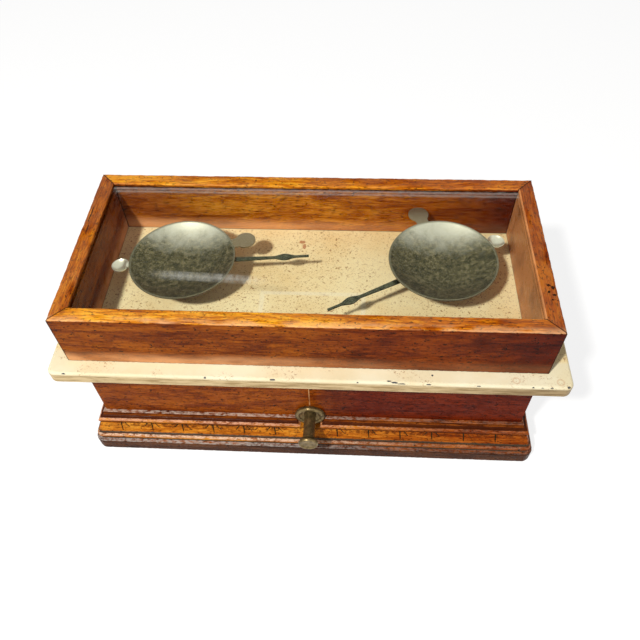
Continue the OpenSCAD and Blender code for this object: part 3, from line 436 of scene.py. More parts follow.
def cover_light(graph, axis, colour, top):
    """Painted light: the lit inner faces at the back and on the right, and a painted glow at the cover's
    foot that is stronger to the left.
    """
    # Painted light on the lit inner face of the back rail, in the top's colour
    lit = graph.both(
        graph.near(graph.y, INNER_BACK, 0.6 * MM, 0.8 * MM), graph.near(graph.x, 0.0, 40 * MM, 130 * MM)
    )
    colour = graph.painted(colour, 0.55, lit, over=top)
    if axis == SHORT:
        # Painted light on the lit inner face of the right rail
        pale = graph.near(graph.x, INNER_RIGHT, 0.6 * MM, 0.8 * MM)
        cloudy = graph.rise(graph.noise(graph.place, 45, 3), 0.3, 0.6, 0.5, 1.0)
        colour = graph.painted(colour, 0.75, pale, cloudy, over=PAINTED_LIGHT_INSIDE)
    # Painted light: the foot of the cover is paler, most of all to the left
    low = graph.rise(graph.z, BOARD_TOP + 15 * MM, BOARD_TOP + 4 * MM)
    to_left = graph.rise(graph.x, 120 * MM, -100 * MM, 0.15, 0.85)
    ragged = graph.rise(graph.noise(graph.scaled(grain_scale(axis, 3)), 80, 4), 0.25, 0.6, 0.4, 1.0)
    return graph.painted(colour, 0.95, low, to_left, ragged, over=FOOT_PAINTED_LIGHT)


def cover_marks(graph, axis, colour):
    """Painted shade along the foot, where the cover meets the board; pale arrises, worn and with a painted
    highlight at the front; holes and the mitre seams.
    """
    # Painted shade along the cover's foot, where it meets the board
    foot = graph.rise(graph.z, BOARD_TOP + 1.0 * MM, BOARD_TOP + 0.3 * MM)
    colour = graph.painted(colour, 0.85, foot, over=FOOT_SHADE_LINE)
    # Pale top arrises: wear, and a painted highlight strongest on the front rail
    arris = graph.both(
        graph.near(graph.z, COVER_TOP - 0.5 * MM, 0.3 * MM, 0.5 * MM),
        graph.rise(graph.noise(graph.scaled(grain_scale(axis, 4)), 160, 3), 0.35, 0.55),
    )
    to_front = graph.rise(graph.y, -74 * MM, -78 * MM, 0.1, 0.5)
    colour = graph.painted(colour, 1.0, arris, to_front, over=ARRIS_WEAR_AND_HIGHLIGHT)
    worn = graph.rise(graph.attribute("wear"), 0.75, 1.0)
    colour = graph.painted(colour, 0.35, worn, over=WORN_WOOD)
    colour = graph.painted(colour, 0.95, graph.blots(HOLES, 1.5, 800), over=HOLE_DARK)
    return graph.painted(colour, 0.85, seam_mask(graph), over=SEAM_DARK)


def cover_wood(name, axis):
    graph = Graph(name)
    side, tone, pit = cover_side(graph, axis)
    top = cover_top(graph, axis)
    # The tops take the paler top colour: partly painted light, partly fading
    on_top = graph.rise(graph.z, COVER_TOP - 1.3 * MM, COVER_TOP - 0.4 * MM)
    colour = cover_light(graph, axis, graph.mix(on_top, side, top), top)
    return shellacked(graph, cover_marks(graph, axis, colour), tone, pit, 0.05)


def wall_wood():
    graph = Graph("case_wood")
    colour, tone, pit = wood_colour(graph, LONG, WALL_TONES)
    colour = darker_right(graph, colour, -15, 45, (0.5, 0.22, 0.4))
    # Painted shadow of the board's overhang along the top of the wall
    shade = graph.rise(graph.z, 103 * MM, 111 * MM)
    colour = graph.painted(colour, 0.6, shade, over=PAINTED_BOARD_SHADOW)
    return shellacked(graph, colour, tone, pit, 0.04)


def moulding_bands(graph, axis, colour):
    """An amber band and amber beads on the brown wood, over a dark plinth. The amber is painted light, where
    the sloping band and the beads face the lamp.
    """
    amber, _, _ = wood_colour(graph, axis, AMBER_TONES)
    amber = darker_right(graph, amber, -30, 140, (0.6, 0.4, 0.4))
    dark, _, _ = wood_colour(graph, axis, PLINTH_TONES)
    # Painted light: the sloping band and the beads take the paler amber
    colour = graph.mix(graph.band(24.2, 32.6), colour, amber)
    stained = graph.rise(graph.noise(graph.place, 230, 4, 0.7), 0.46, 0.6)
    colour = graph.painted(colour, 0.75, stained, graph.band(30.2, 32.8, 1.5), over=BAND_STAIN)
    beads = graph.math("MAXIMUM", graph.band(16.8, 21.0, 0.5), graph.band(33.9, 38.3, 0.5))
    patchy = graph.rise(graph.noise(graph.scaled(grain_scale(axis, 3)), 75, 4), 0.34, 0.55, 0.3, 1.0)
    colour = graph.painted(colour, 0.85, beads, patchy, over=amber)
    return graph.mix(graph.rise(graph.z, PLINTH_H + 0.2 * MM, PLINTH_H - 0.4 * MM), colour, dark)


def moulding_lines(graph, axis, colour):
    """Darker steps, painted shade in the quirks, and pale lines that fade to the right: painted highlights
    on the fillet and beads, and dust with a painted sheen on the ledge.
    """
    # The two steps are darker
    step = graph.math("MAXIMUM", graph.band(21.9, 24.1), graph.band(14.6, 16.4))
    colour = graph.painted(colour, 0.9, step, over=STEP_DARK)
    # Painted shade in the quirks under the beads
    quirk = graph.math("MAXIMUM", graph.band(32.7, 33.7, 0.2), graph.band(38.6, 39.6, 0.2))
    colour = graph.painted(colour, 0.85, quirk, over=QUIRK_SHADE)
    dotted = graph.rise(graph.noise(graph.scaled(grain_scale(axis, 2)), 500, 4, 0.75), 0.36, 0.6)
    to_left = graph.rise(graph.x, 120 * MM, -60 * MM, 0.18, 1.0)
    # Painted highlights along the fillet and beads, and dust with a painted sheen on the ledge, fading to
    # the right
    for low, high, amount, pale in HIGHLIGHT_AND_DUST_LINES:
        colour = graph.painted(colour, amount, graph.band(low, high), dotted, to_left, over=pale)
    return colour


def moulding_wood(name, axis):
    graph = Graph(name)
    colour, tone, pit = wood_colour(graph, axis, MOULDING_TONES)
    colour = moulding_lines(graph, axis, moulding_bands(graph, axis, colour))
    cut = graph.rise(graph.attribute("carved"), 0.18, 0.5)
    colour = graph.painted(colour, 0.95, cut, over=CUT_DARK)
    gloss = graph.rise(graph.noise(graph.place, 150, 3), 0.3, 0.7, 0.2, 0.36)
    return graph.surface(
        Base_Color=colour, Roughness=gloss, Specular_IOR_Level=0.04, Normal=wood_bump(graph, tone, pit)
    )


def cream(graph, cloud, inside):
    """Warm cream inside the cover, and a paler one outside."""
    warm = graph.ramp(cloud, zip((0.35, 0.6), WARM_CREAM))
    pale = graph.ramp(cloud, zip((0.35, 0.6), PALE_CREAM))
    return graph.mix(inside, pale, warm)


def paint_specks(graph, colour, inside):
    """Fine and coarse brown specks, most of them inside the cover."""
    cloudy = graph.rise(graph.noise(graph.place, 28, 3), 0.38, 0.55, 0.4, 1.0)
    outside = graph.rise(graph.noise(graph.place, 34, 3), 0.5, 0.66, 0.0, 0.9)
    patchy = graph.math("MAXIMUM", graph.both(cloudy, inside), outside)
    fine = graph.rise(graph.noise(graph.place, 800, 3, 0.6), 0.56, 0.66)
    colour = graph.painted(colour, 0.7, fine, patchy, over=FINE_SPECK)
    coarse = graph.rise(graph.noise(graph.place, 420, 3, 0.6), 0.61, 0.66)
    return graph.painted(colour, 0.75, coarse, patchy, over=COARSE_SPECK)


def paint_stains(graph, colour):
    """A faint rectangle, a reddish blemish and two rings."""
    sides = []
    for place, centre, half in zip((graph.x, graph.y), GHOST_CENTRE, GHOST_HALF):
        off = graph.math("ABSOLUTE", graph.math("SUBTRACT", place, centre))
        sides.append(graph.math("SUBTRACT", off, half))
    ghost = graph.near(graph.math("MAXIMUM", *sides), 0.0, 1.0 * MM, 1.5 * MM)
    colour = graph.painted(colour, 0.55, ghost, over=GHOST_CREAM)
    colour = graph.painted(colour, 0.8, graph.blots(BLEMISHES, 1.2, 700), over=BLEMISH_RED)
    for centre in RINGS:
        ring = graph.near(graph.away([c * MM for c in centre]), RING_R, 0.3 * MM, 0.5 * MM)
        colour = graph.painted(colour, 0.35, ring, over=RING_BROWN)
    return colour


def worn_edge(graph, colour):
    """The board's edge is rubbed to tan wood, darker to the right."""
    edge = graph.rise(graph.z, BOARD_TOP - 0.8 * MM, BOARD_TOP - 3.0 * MM)
    streak = graph.noise(graph.scaled((0.12, 0.12, 1.0)), 420, 4, 0.65)
    tan = graph.ramp(streak, zip((0.38, 0.58), EDGE_TANS))
    return graph.mix(edge, colour, darker_right(graph, tan, 60, 180, (0.62, 0.58, 0.55)))


def board_paint():
    """Cream paint with brown specks, stains of old weights and chips that show dark wood."""
    graph = Graph("cream_paint")
    cloud = graph.noise(graph.place, 22, 5, 0.6)
    inside = graph.near(graph.y, COVER_CENTRE[1], COVER_D / 2 - RAIL_T, 4 * MM)
    colour = paint_specks(graph, cream(graph, cloud, inside), inside)
    colour = worn_edge(graph, paint_stains(graph, colour))
    on_top = graph.rise(graph.z, BOARD_TOP - 1.3 * MM, BOARD_TOP - 0.9 * MM)
    chip = graph.math("MULTIPLY", graph.blots(CHIPS, 1.6, 900), on_top)
    colour = graph.painted(colour, 0.95, chip, over=CHIP_DARK)
    rough = graph.rise(cloud, 0.3, 0.7, 0.42, 0.6)
    height = graph.math("SUBTRACT", graph.math("MULTIPLY", cloud, 0.5), chip)
    return graph.surface(
        Base_Color=colour, Roughness=rough, Specular_IOR_Level=0.15, Normal=graph.bump(height, 0.15 * MM)
    )


def pan_metal(name, centre):
    """Dull plated bowl: grey-green with olive specks, and a painted highlight that brightens the back of the
    bowl.
    """
    graph = Graph(name)
    mottle = graph.noise(graph.place, 260, 6, 0.8, 0.3)
    colour = graph.ramp(
        mottle, [(0.4, (0.045, 0.043, 0.02)), (0.5, (0.095, 0.085, 0.04)), (0.6, (0.2, 0.17, 0.085))]
    )
    olive = graph.rise(graph.noise(graph.place, 700, 4, 0.7), 0.57, 0.68)
    colour = graph.painted(colour, 0.5, olive, over=(0.36, 0.31, 0.15))
    dark = graph.rise(graph.noise(graph.place, 480, 3, 0.6), 0.57, 0.66)
    colour = graph.painted(colour, 0.6, dark, over=(0.03, 0.03, 0.015))
    slope = graph.math("SUBTRACT", graph.y, centre[1])
    broad = graph.noise(graph.place, 110, 5, 0.7)
    colour = graph.painted(colour, 0.55, graph.rise(broad, 0.5, 0.62), over=(0.035, 0.035, 0.018))
    # Painted highlight: the back of the bowl is painted bright, with a ragged edge
    ragged = graph.math("ADD", slope, graph.math("MULTIPLY", broad, 26 * MM))
    back = graph.rise(ragged, 22 * MM, 52 * MM)
    colour = graph.painted(colour, 0.75, back, over=(0.64, 0.63, 0.5))
    away = graph.away(centre)
    rim = graph.rise(away, PAN_R - 0.7 * MM, PAN_R - 0.1 * MM)
    colour = graph.painted(colour, 0.6, rim, over=(0.2, 0.19, 0.12))
    ear = graph.rise(away, PAN_R + 0.6 * MM, PAN_R + 1.6 * MM)
    colour = graph.painted(colour, 0.7, ear, over=(0.26, 0.2, 0.11))
    rough = graph.rise(mottle, 0.3, 0.7, 0.48, 0.34)
    height = graph.noise(graph.place, 420, 4, 0.6)
    return graph.surface(
        Base_Color=colour, Metallic=0.85, Roughness=rough, Normal=graph.bump(height, 0.04 * MM)
    )


def pointer_metal():
    """Dark green-grey arms, and dished discs painted pale: partly paler metal, partly a painted highlight.
    """
    graph = Graph("pointer_metal")
    mottle = graph.noise(graph.place, 260, 5, 0.6, 0.3)
    colour = graph.ramp(mottle, [(0.36, (0.03, 0.036, 0.02)), (0.62, (0.1, 0.105, 0.06))])
    for centre in DISHES:
        # Painted highlight on the dished discs, over their paler metal
        on_dish = graph.rise(graph.away(centre), 8.2 * MM, 6.6 * MM)
        colour = graph.painted(colour, 0.85, on_dish, over=(0.72, 0.7, 0.54))
    height = graph.noise(graph.place, 600, 4, 0.6)
    return graph.surface(
        Base_Color=colour, Metallic=0.8, Roughness=0.32, Normal=graph.bump(height, 0.02 * MM)
    )


def mottled_metal(name, dark, light, rough, metallic=0.85, scale=160):
    graph = Graph(name)
    mottle = graph.noise(graph.place, scale, 5, 0.6, 0.3)
    colour = graph.ramp(mottle, [(0.36, dark), (0.62, light)])
    gloss = graph.rise(mottle, 0.3, 0.7, rough + 0.1, rough - 0.05)
    height = graph.noise(graph.place, scale * 3, 4, 0.6)
    return graph.surface(
        Base_Color=colour, Metallic=metallic, Roughness=gloss, Normal=graph.bump(height, 0.03 * MM)
    )


def plain_wood(name, axis):
    graph = Graph(name)
    colour, tone, pit = wood_colour(graph, axis, INNER_TONES, INNER_PITS)
    return graph.surface(
        Base_Color=colour, Roughness=0.62, Specular_IOR_Level=0.25, Normal=wood_bump(graph, tone, pit)
    )


def soft_leather():
    graph = Graph("pad_leather")
    mottle = graph.noise(graph.place, 500, 4)
    colour = graph.ramp(mottle, [(0.35, (0.12, 0.05, 0.02)), (0.65, (0.26, 0.13, 0.06))])
    return graph.surface(Base_Color=colour, Roughness=0.8, Normal=graph.bump(mottle, 0.08 * MM))


def bone():
    graph = Graph("inlay")
    streak = graph.noise(graph.scaled((1.0, 1.0, 0.1)), 900, 3)
    colour = graph.ramp(streak, [(0.35, (0.3, 0.12, 0.04)), (0.65, (0.55, 0.3, 0.13))])
    return graph.surface(Base_Color=colour, Roughness=0.45, Specular_IOR_Level=0.2)


def glass_veil_and_reflection(graph):
    """Specks, a painted reflection streak over the left pan, and dust along the back edge and its corners.
    """
    specks = graph.rise(graph.noise(graph.place, 900, 3, 0.7), 0.66, 0.76)
    lean = graph.math("ADD", graph.y, graph.math("MULTIPLY", graph.x, 0.05))
    banded = graph.rise(graph.noise(graph.scaled((1.0, 0.05, 1.0)), 420, 3, 0.7), 0.35, 0.65, 0.35, 1.0)
    # Painted reflection: a pale streak on the glass over the left pan
    painted_reflection = graph.both(
        graph.near(graph.x, -72 * MM, 22 * MM, 26 * MM),
        graph.near(lean, -38 * MM, 1.5 * MM, 2.5 * MM),
        banded,
    )
    back = graph.near(graph.y, INNER_BACK - 2.5 * MM, 0.4 * MM, 1.6 * MM)
    cloudy = graph.rise(graph.noise(graph.place, 240, 4, 0.7), 0.42, 0.7)
    corner = graph.math("MULTIPLY", graph.rise(graph.y, INNER_BACK - 12 * MM, INNER_BACK), cloudy)
    veil_and_reflection = graph.math("MULTIPLY", specks, 0.1)
    for mask, amount in ((painted_reflection, 0.22), (back, 0.16), (corner, 0.1)):
        veil_and_reflection = graph.math("ADD", veil_and_reflection, graph.math("MULTIPLY", mask, amount))
    return veil_and_reflection


def glass():
    """A clear sheet with weak reflections, some haze, and a painted reflection streak."""
    graph = Graph("cover_glass")
    clear = graph.node("BsdfTransparent", {"Color": (0.985, 0.99, 0.98)})
    shine = graph.node("BsdfGlossy", {"Color": WHITE, "Roughness": 0.02})
    pale_veil = graph.node("BsdfDiffuse", {"Color": (0.8, 0.8, 0.74)})
    facing = graph.node("LayerWeight", {"Blend": 0.5}).outputs["Facing"]
    reflected = graph.rise(graph.math("POWER", facing, 4.0), 0.0, 1.0, 0.003, 0.6)
    sheet = graph.node("MixShader", {0: reflected, 1: clear.outputs[0], 2: shine.outputs[0]})
    veiled_sheet = graph.node("MixShader", {0: glass_veil_and_reflection(graph), 1: sheet.outputs[0], 2: pale_veil.outputs[0]})
    graph.node("OutputMaterial", {"Surface": veiled_sheet.outputs[0]})
    return graph.material


# Outlines and sweeps


def arc(centre, radius, start, end, steps):
    """Points on an arc, from angle start to angle end, in degrees."""
    angles = np.radians(np.linspace(start, end, steps + 1))
    return [(centre[0] + radius * math.cos(a), centre[1] + radius * math.sin(a)) for a in angles]


def refined(points, step):
    """A closed outline with extra points, so that no side is longer than step."""
    made = []
    for a, b in zip(points, points[1:] + points[:1]):
        count = max(1, math.ceil(math.dist(a, b) / step))
        for k in range(count):
            share = k / count
            made.append((a[0] + (b[0] - a[0]) * share, a[1] + (b[1] - a[1]) * share))
    return np.array(made)


def outline_normals(points):
    """Outward normals of an outline that runs counter-clockwise."""
    along = np.roll(points, -1, axis=0) - np.roll(points, 1, axis=0)
    normals = np.stack([along[:, 1], -along[:, 0]], axis=1)
    return normals / np.maximum(np.linalg.norm(normals, axis=1, keepdims=True), 1e-12)


def rail_outline():
    """Section of a cover rail: projection (0 at the outer face) and height over the board."""
    r, t, h = RAIL_EDGE_R, RAIL_T, COVER_H
    foot = 0.3 * MM
    points = [(-t + foot, 0.0), (-foot, 0.0), (0.0, foot)]
    points += arc((-r, h - r), r, 0, 90, 6)
    points += arc((-t + r, h - r), r, 90, 180, 6)
    groove_top = GROOVE_Z + GROOVE_H
    points += [(-t, groove_top), (-t + GROOVE_DEPTH, groove_top)]
    points += [(-t + GROOVE_DEPTH, GROOVE_Z), (-t, GROOVE_Z), (-t, foot)]
    return refined(points, 1.6 * MM)


def moulding_outline():
    """Section of the plinth moulding: projection from the wall and height over the table."""
    low_x = LOWER_BEAD_P - BEAD_R
    up_x = UPPER_BEAD_P - BEAD_R
    points = [(0.0, 0.0)]
    points += arc((PLINTH_P - PLINTH_R, PLINTH_R), PLINTH_R, -90, 0, 6)
    points += arc((PLINTH_P - PLINTH_TOP_R, PLINTH_H - PLINTH_TOP_R), PLINTH_TOP_R, 0, 90, 5)
    points += [(LOWER_BEAD_P - 0.8 * MM, PLINTH_H + 0.3 * MM), (low_x + 1.6 * MM, PLINTH_H + 1.6 * MM)]
    points += arc((low_x, LOWER_BEAD_Z), BEAD_R, -52, 84, 14)
    points += [(BAND_BOTTOM_P + 0.8 * MM, LOWER_BEAD_Z + BEAD_R - 0.3 * MM)]
    points += [(BAND_BOTTOM_P + 0.8 * MM, BAND_BOTTOM_Z - 0.4 * MM)]
    points += [(BAND_BOTTOM_P, BAND_BOTTOM_Z), (BAND_TOP_P, BAND_TOP_Z)]
    points += [(up_x + 1.5 * MM, BAND_TOP_Z + 0.6 * MM)]
    points += arc((up_x, UPPER_BEAD_Z), BEAD_R, -50, 88, 14)
    points += arc((FILLET_P + COVE_R, COVE_Z + COVE_R), COVE_R, 270, 180, 7)
    points += [(FILLET_P, MOULD_H - 0.4 * MM), (FILLET_P - 0.4 * MM, MOULD_H), (0.0, MOULD_H)]
    return refined(points, 0.55 * MM)


def stations(half, step, extra=()):
    """Places along a piece, in shares of its half length from -1 to 1."""
    count = 2 * math.ceil(half / step)
    places = np.linspace(-1.0, 1.0, count + 1)
    return np.unique(np.concatenate([places, [e / half for e in extra]]))


def at_side(points, side, length, depth, centre, base):
    """Takes points given as along, outwards, up to their side of the case."""
    reach = (depth if side in (FRONT, BACK) else length) / 2
    turn = Matrix.Rotation(math.radians(90 * side), 3, "Z")
    local = np.stack([points[:, 0], -reach - points[:, 1], points[:, 2]], axis=1)
    return local @ np.array(turn).T + np.array([*centre, base])


def mesh_object(name, vertices, faces, material):
    mesh = bpy.data.meshes.new(name)
    mesh.from_pydata(vertices.tolist(), [], faces)
    mesh.validate()
    mesh.materials.append(material)
    mesh.polygons.foreach_set("use_smooth", [True] * len(mesh.polygons))
    mesh.set_sharp_from_angle(angle=math.radians(SHARP_ANGLE))
    made = bpy.data.objects.new(name, mesh)
    bpy.context.scene.collection.objects.link(made)
    return made


def add_attribute(made, name, values):
    attribute = made.data.attributes.new(name, "FLOAT", "POINT")
    attribute.data.foreach_set("value", values.astype(np.float32))


def swept(name, outline, shares, half, place, material, shape):
    """Sweeps an outline along a side with mitred ends; shape() cuts into it and marks the cuts."""
    normals = outline_normals(outline)
    count, ring = len(shares), len(outline)
    along = shares[:, None] * (half + outline[None, :, 0])
    out = np.repeat(outline[None, :, 0], count, axis=0)
    up = np.repeat(outline[None, :, 1], count, axis=0)
    depth, mark = shape(along, out, up)
    out = out - depth * normals[None, :, 0]
    up = up - depth * normals[None, :, 1]
    points = np.stack([along.ravel(), out.ravel(), up.ravel()], axis=1)
    faces = []
    for k in range(count - 1):
        a, b = k * ring, (k + 1) * ring
        for j in range(ring):
            n = (j + 1) % ring
            faces.append((a + j, b + j, b + n, a + n))
    faces.append(tuple(range(ring)))
    faces.append(tuple(reversed(range((count - 1) * ring, count * ring))))
    made = mesh_object(name, place(points), [f[::-1] for f in faces], material)
    for attribute, values in mark.items():
        add_attribute(made, attribute, values.ravel())
    return made


# Cover rails


def ripple(x, seed, lengths):
    """A smooth random line with values from about -1 to 1."""
    chance = np.random.default_rng(seed)
    waves = [np.sin(2 * math.pi * (x / length + chance.random())) for length in lengths]
    return sum(waves) / math.sqrt(len(waves))


def dents(along, up, out, seed, count, half):
    """Small knocks on a rail's outer face and top."""
    chance = np.random.default_rng(seed)
    depth = np.zeros_like(along)
    for _ in range(count):
        x = chance.uniform(-half, half)
        on_top = chance.random() < 0.5
        z = COVER_H if on_top else chance.uniform(2 * MM, COVER_H)
        p = chance.uniform(-RAIL_T, 0) if on_top else 0.0
        radius = chance.uniform(1.0, 2.6) * MM
        off = np.sqrt((along - x) ** 2 + (up - z) ** 2 + (out - p) ** 2) / radius
        depth += chance.uniform(0.1, 0.3) * MM * np.exp(-(off**2))
    return depth


def rail_shape(seed, half):
    """Wear along the two top arrises and the foot, and some dents."""

    def shape(along, out, up):
        top = np.clip((up - COVER_H + 2.4 * MM) / (1.2 * MM), 0, 1)
        outer = top * np.clip((out + 3 * MM) / (3 * MM), 0, 1)
        inner = top * np.clip((-out - RAIL_T + 3 * MM) / (3 * MM), 0, 1)
        rub = np.clip(0.35 + 0.5 * ripple(along, seed, (61 * MM, 23 * MM, 9 * MM)), 0, 1)
        chip = np.clip(ripple(along, seed + 7, (31 * MM, 7 * MM, 4.1 * MM, 2.9 * MM)) - 1.2, 0, 1)
        foot = np.clip(1 - up / (1.5 * MM), 0, 1) * np.clip(ripple(along, seed + 3, (17 * MM, 5 * MM)), 0, 1)
        knocks = dents(along, up, out, seed + 11, 26, half)
        depth = 0.3 * MM * outer * rub + 0.15 * MM * inner * rub + 0.8 * MM * chip * outer
        depth += 0.25 * MM * foot + knocks
        inside_groove = (out < -RAIL_T + GROOVE_DEPTH + 0.1 * MM) & (up < COVER_H - 2 * MM)
        depth = np.where(inside_groove, 0.0, depth)
        worn = np.clip(outer * (rub * 0.9 + chip * 3), 0, 1) + np.clip(knocks / (0.3 * MM), 0, 0.5)
        return depth, {"wear": np.clip(worn, 0, 1)}

    return shape


def cover_rails(materials):
    outline = rail_outline()
    sides = ((FRONT, "front"), (RIGHT, "right"), (BACK, "back"), (LEFT, "left"))
    for side, word in sides:
        half = (COVER_L if side in (FRONT, BACK) else COVER_D) / 2
        made = swept(
            f"{word}_rail_worn",
            outline,
            stations(half, RAIL_STATION),
            half,
            lambda points, side=side: at_side(
                points, side, COVER_L, COVER_D, COVER_CENTRE, BOARD_TOP
            ),
            materials["cover_x" if side in (FRONT, BACK) else "cover_y"],
            rail_shape(40 + side, half),
        )
        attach(made, "cover")
        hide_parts(f"cover_{word}_rail")


# Mouldings


def stroke(along, rise, start, end, half_start, half_end):
    """Depth share of one tapered gouge, between two points on the band."""
    run = np.array(end) - np.array(start)
    share = ((along - start[0]) * run[0] + (rise - start[1]) * run[1]) / (run @ run)
    held = np.clip(share, 0, 1)
    off = np.hypot(along - start[0] - held * run[0], rise - start[1] - held * run[1])
    half = half_start + (half_end - half_start) * held
    return np.clip(1 - (off / half) ** 2, 0, 1)


def motif(along, rise, height, x, strength):
    """One upright gouge, wide at the top, with a short leaning cut on each side."""
    left, right = strength
    top, low = (x - 0.4 * MM, height), (x + 0.3 * MM, 0.14 * height)
    upright = stroke(along, rise, top, low, CUT_HALF, 0.5 * CUT_HALF)
    leans = (
        (left, (x - 4.2 * MM, 0.97 * height), (x - 6.9 * MM, 0.6 * height)),
        (right, (x + 2.9 * MM, 0.97 * height), (x + 6.6 * MM, 0.5 * height)),
    )
    for amount, top, low in leans:
        if amount:
            upright = np.maximum(
                upright, amount * stroke(along, rise, top, low, 0.75 * CUT_HALF, 0.45 * CUT_HALF)
            )
    return upright


def moulding_shape(motifs, seed):
    height = BAND_TOP_Z - BAND_BOTTOM_Z

    def shape(along, out, up):
        rise = up - BAND_BOTTOM_Z
        on_band = (rise > -0.2 * MM) & (rise < height + 0.2 * MM) & (out > 4 * MM)
        cut = np.zeros_like(along)
        for x, strength in motifs:
            cut = np.maximum(cut, motif(along, rise, height, x, strength))
        cut = np.where(on_band, cut, 0.0)
        edge = np.clip((out - 4 * MM) / (2 * MM), 0, 1)
        rub = np.clip(ripple(along, seed, (47 * MM, 13 * MM, 5 * MM)), 0, 1)
        knock = np.clip(ripple(along + 3 * up, seed + 5, (23 * MM, 7 * MM, 3.3 * MM)) - 1.1, 0, 1)
        depth = CUT_DEPTH * cut + edge * (0.12 * MM * rub + 0.35 * MM * knock)
        return depth, {"carved": cut}

    return shape


def notch(points):
    """Cuts the round notch for the knob's ring into the front moulding."""
    inside = np.abs(points[:, 0]) < NOTCH_R
    reach = np.sqrt(np.maximum(NOTCH_R**2 - points[:, 0] ** 2, 0))
    limit = np.where(inside, KNOB_Z - reach, np.inf)
    points[:, 2] = np.minimum(points[:, 2], limit)
    return points


def front_motifs():
    """Places of the front's motifs, either side of the knob, with the strength of their side cuts."""
    counts = [k for k in range(-FRONT_MOTIFS, FRONT_MOTIFS + 1) if k != 0]
    return [(k * MOTIF_STEP + MOTIF_START, WEAK_CUTS.get(k, FULL_CUTS)) for k in counts]


def side_motifs():
    return [(k * MOTIF_STEP, FULL_CUTS) for k in range(-SIDE_MOTIFS, SIDE_MOTIFS + 1)]


def rounded_ends(points, half):
    """Rounds the corners in plan: points are along, outwards, up."""
    past_x = np.abs(points[:, 0]) - (half + PLINTH_P - CORNER_R)
    past_y = points[:, 1] - (PLINTH_P - CORNER_R)
    corner = (past_x > 0) & (past_y > 0)
    reach = np.where(corner, np.hypot(past_x, past_y), 1.0)
    shrink = np.where(corner, np.maximum(past_x, past_y) / reach, 1.0)
    x = half + PLINTH_P - CORNER_R + past_x * shrink
    points[:, 0] = np.where(corner, np.sign(points[:, 0]) * x, points[:, 0])
    points[:, 1] = np.where(corner, PLINTH_P - CORNER_R + past_y * shrink, points[:, 1])
    return points


def mouldings(materials):
    outline = moulding_outline()
    edge = math.sqrt(NOTCH_R**2 - (KNOB_Z - MOULD_H) ** 2)
    carved = (
        (FRONT, "front", front_motifs(), (-edge, edge)),
        (RIGHT, "right", side_motifs(), ()),
        (BACK, "back", [], ()),
        (LEFT, "left", side_motifs(), ()),
    )
    for side, word, motifs, extra in carved:
        lengthwise = side in (FRONT, BACK)
        half = (BASE_L if lengthwise else BASE_D) / 2

        def place(points, side=side, half=half):
            points = rounded_ends(points, half)
            if side == FRONT:
                points = notch(points)
            return at_side(points, side, BASE_L, BASE_D, (0.0, 0.0), 0.0)

        made = swept(
            f"{word}_moulding_carved",
            outline,
            stations(half, MOULD_STATION, extra),
            half,
            place,
            materials["moulding_x" if lengthwise else "moulding_y"],
            moulding_shape(motifs, 70 + side),
        )
        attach(made, "base")
        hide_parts(f"{word}_moulding")


# CAD nodes and their materials


def dress_nodes(frame, materials):
    """Gives each CAD node that is kept the material of its slot."""
    slots = {part["node"]: part["material_slot"] for part in frame["record"]["subparts"]}
    for node, made in frame["nodes"].items():
        material = materials.get(node) or materials[slots[node]]
        made.data.materials.clear()
        made.data.materials.append(material)


def all_materials():
    made = {
        "cover_x": cover_wood("cover_wood_long", LONG),
        "cover_y": cover_wood("cover_wood_short", SHORT),
        "moulding_x": moulding_wood("moulding_wood_long", LONG),
        "moulding_y": moulding_wood("moulding_wood_short", SHORT),
        "case_wood": wall_wood(),
        "inner_wood": plain_wood("inner_wood", LONG),
        "cream_paint": board_paint(),
        "cover_glass": glass(),
        "left_pan": pan_metal("left_pan_metal", PAN_CENTRES[0]),
        "right_pan": pan_metal("right_pan_metal", PAN_CENTRES[1]),
        "pointer_metal": pointer_metal(),
        "bright_brass": mottled_metal("bright_brass", (0.42, 0.24, 0.07), (0.62, 0.4, 0.14), 0.28, 1.0),
        "black_iron": mottled_metal("black_iron", (0.012, 0.012, 0.013), (0.035, 0.034, 0.034), 0.42, 0.4),
        "spring_steel": mottled_metal("spring_steel", (0.2, 0.22, 0.27), (0.36, 0.37, 0.4), 0.25, 1.0),
        "screw_steel": mottled_metal("screw_steel", (0.22, 0.21, 0.19), (0.42, 0.41, 0.38), 0.3, 1.0),
        "knob_brass": mottled_metal("knob_brass", (0.09, 0.062, 0.024), (0.24, 0.17, 0.07), 0.38, 0.75, 300),
        "pad_leather": soft_leather(),
        "inlay": bone(),
    }
    made["moulding_wood"] = made["moulding_x"]
    made["cover_wood"] = made["cover_x"]
    return made


# Stage


def floor_material():
    """A pale floor that the camera sees as white, with the object's soft shadow on it."""
    graph = Graph("floor_white")
    path = graph.node("LightPath").outputs
    seen = graph.math("MAXIMUM", path["Is Camera Ray"], path["Is Glossy Ray"])
    seen = graph.math("MAXIMUM", seen, path["Is Transmission Ray"])
    pale = graph.node("BsdfDiffuse", {"Color": FLOOR_PALE})
    shade = graph.node("BsdfDiffuse", {"Color": FLOOR_SHADE})
    glow = graph.node("Emission", {"Color": WHITE, "Strength": FLOOR_GLOW})
    shown = graph.node("AddShader", {0: shade.outputs[0], 1: glow.outputs[0]})
    both = graph.node("MixShader", {0: seen, 1: pale.outputs[0], 2: shown.outputs[0]})
    graph.node("OutputMaterial", {"Surface": both.outputs[0]})
    return graph.material


def make_floor():
    half = FLOOR_HALF
    corners = np.array([(-half, -half, 0), (half, -half, 0), (half, half, 0), (-half, half, 0)])
    floor = mesh_object("floor", corners, [(0, 1, 2, 3)], floor_material())


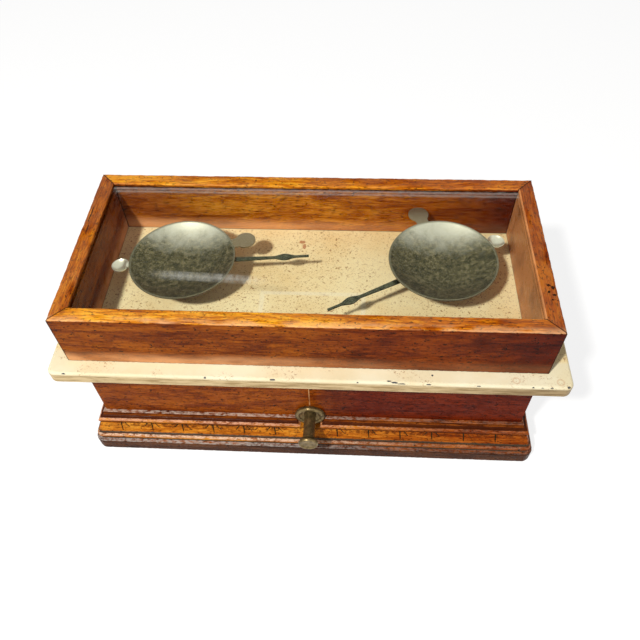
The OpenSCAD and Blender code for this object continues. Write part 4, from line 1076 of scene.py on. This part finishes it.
def make_world():
    world = bpy.data.worlds.new("studio")
    bpy.context.scene.world = world
    world.use_nodes = True
    tree = world.node_tree
    tree.nodes.clear()
    path = tree.nodes.new("ShaderNodeLightPath")
    seen = path.outputs["Is Camera Ray"]
    for name in ("Is Glossy Ray", "Is Transmission Ray"):
        either = tree.nodes.new("ShaderNodeMath")
        either.operation = "MAXIMUM"
        tree.links.new(seen, either.inputs[0])
        tree.links.new(path.outputs[name], either.inputs[1])
        seen = either.outputs[0]
    level = tree.nodes.new("ShaderNodeMapRange")
    level.inputs["To Min"].default_value = SKY_LEVEL
    level.inputs["To Max"].default_value = 1.0
    sky = tree.nodes.new("ShaderNodeBackground")
    sky.inputs["Color"].default_value = (1.0, 1.0, 1.0, 1.0)
    out = tree.nodes.new("ShaderNodeOutputWorld")
    tree.links.new(seen, level.inputs["Value"])
    tree.links.new(level.outputs["Result"], sky.inputs["Strength"])
    tree.links.new(sky.outputs[0], out.inputs["Surface"])


def make_lamp(name, place, size, power, colour):
    light = bpy.data.lights.new(name, "AREA")
    light.size = size
    light.energy = power
    light.color = colour
    lamp = bpy.data.objects.new(name, light)
    lamp.location = place
    aim = Vector(LAMP_AIM) - Vector(place)
    lamp.rotation_euler = aim.to_track_quat("-Z", "Y").to_euler()
    bpy.context.scene.collection.objects.link(lamp)


def make_camera():
    data = bpy.data.cameras.new("camera")
    data.lens = CAMERA_LENS
    data.sensor_width = SENSOR_WIDTH
    data.clip_start = CLIP_START
    camera = bpy.data.objects.new("camera", data)
    camera.location = CAMERA_PLACE
    camera.rotation_euler = [math.radians(a) for a in CAMERA_TURN]
    bpy.context.scene.collection.objects.link(camera)
    bpy.context.scene.camera = camera


def main():
    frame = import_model()
    materials = all_materials()
    dress_nodes(frame, materials)
    cover_rails(materials)
    mouldings(materials)
    make_floor()
    make_world()
    make_lamp("key", KEY_PLACE, KEY_SIZE, KEY_POWER, WARM_WHITE)
    make_lamp("fill", FILL_PLACE, FILL_SIZE, FILL_POWER, WHITE)
    make_camera()
    bpy.context.scene.view_settings.view_transform = "Standard"


main()
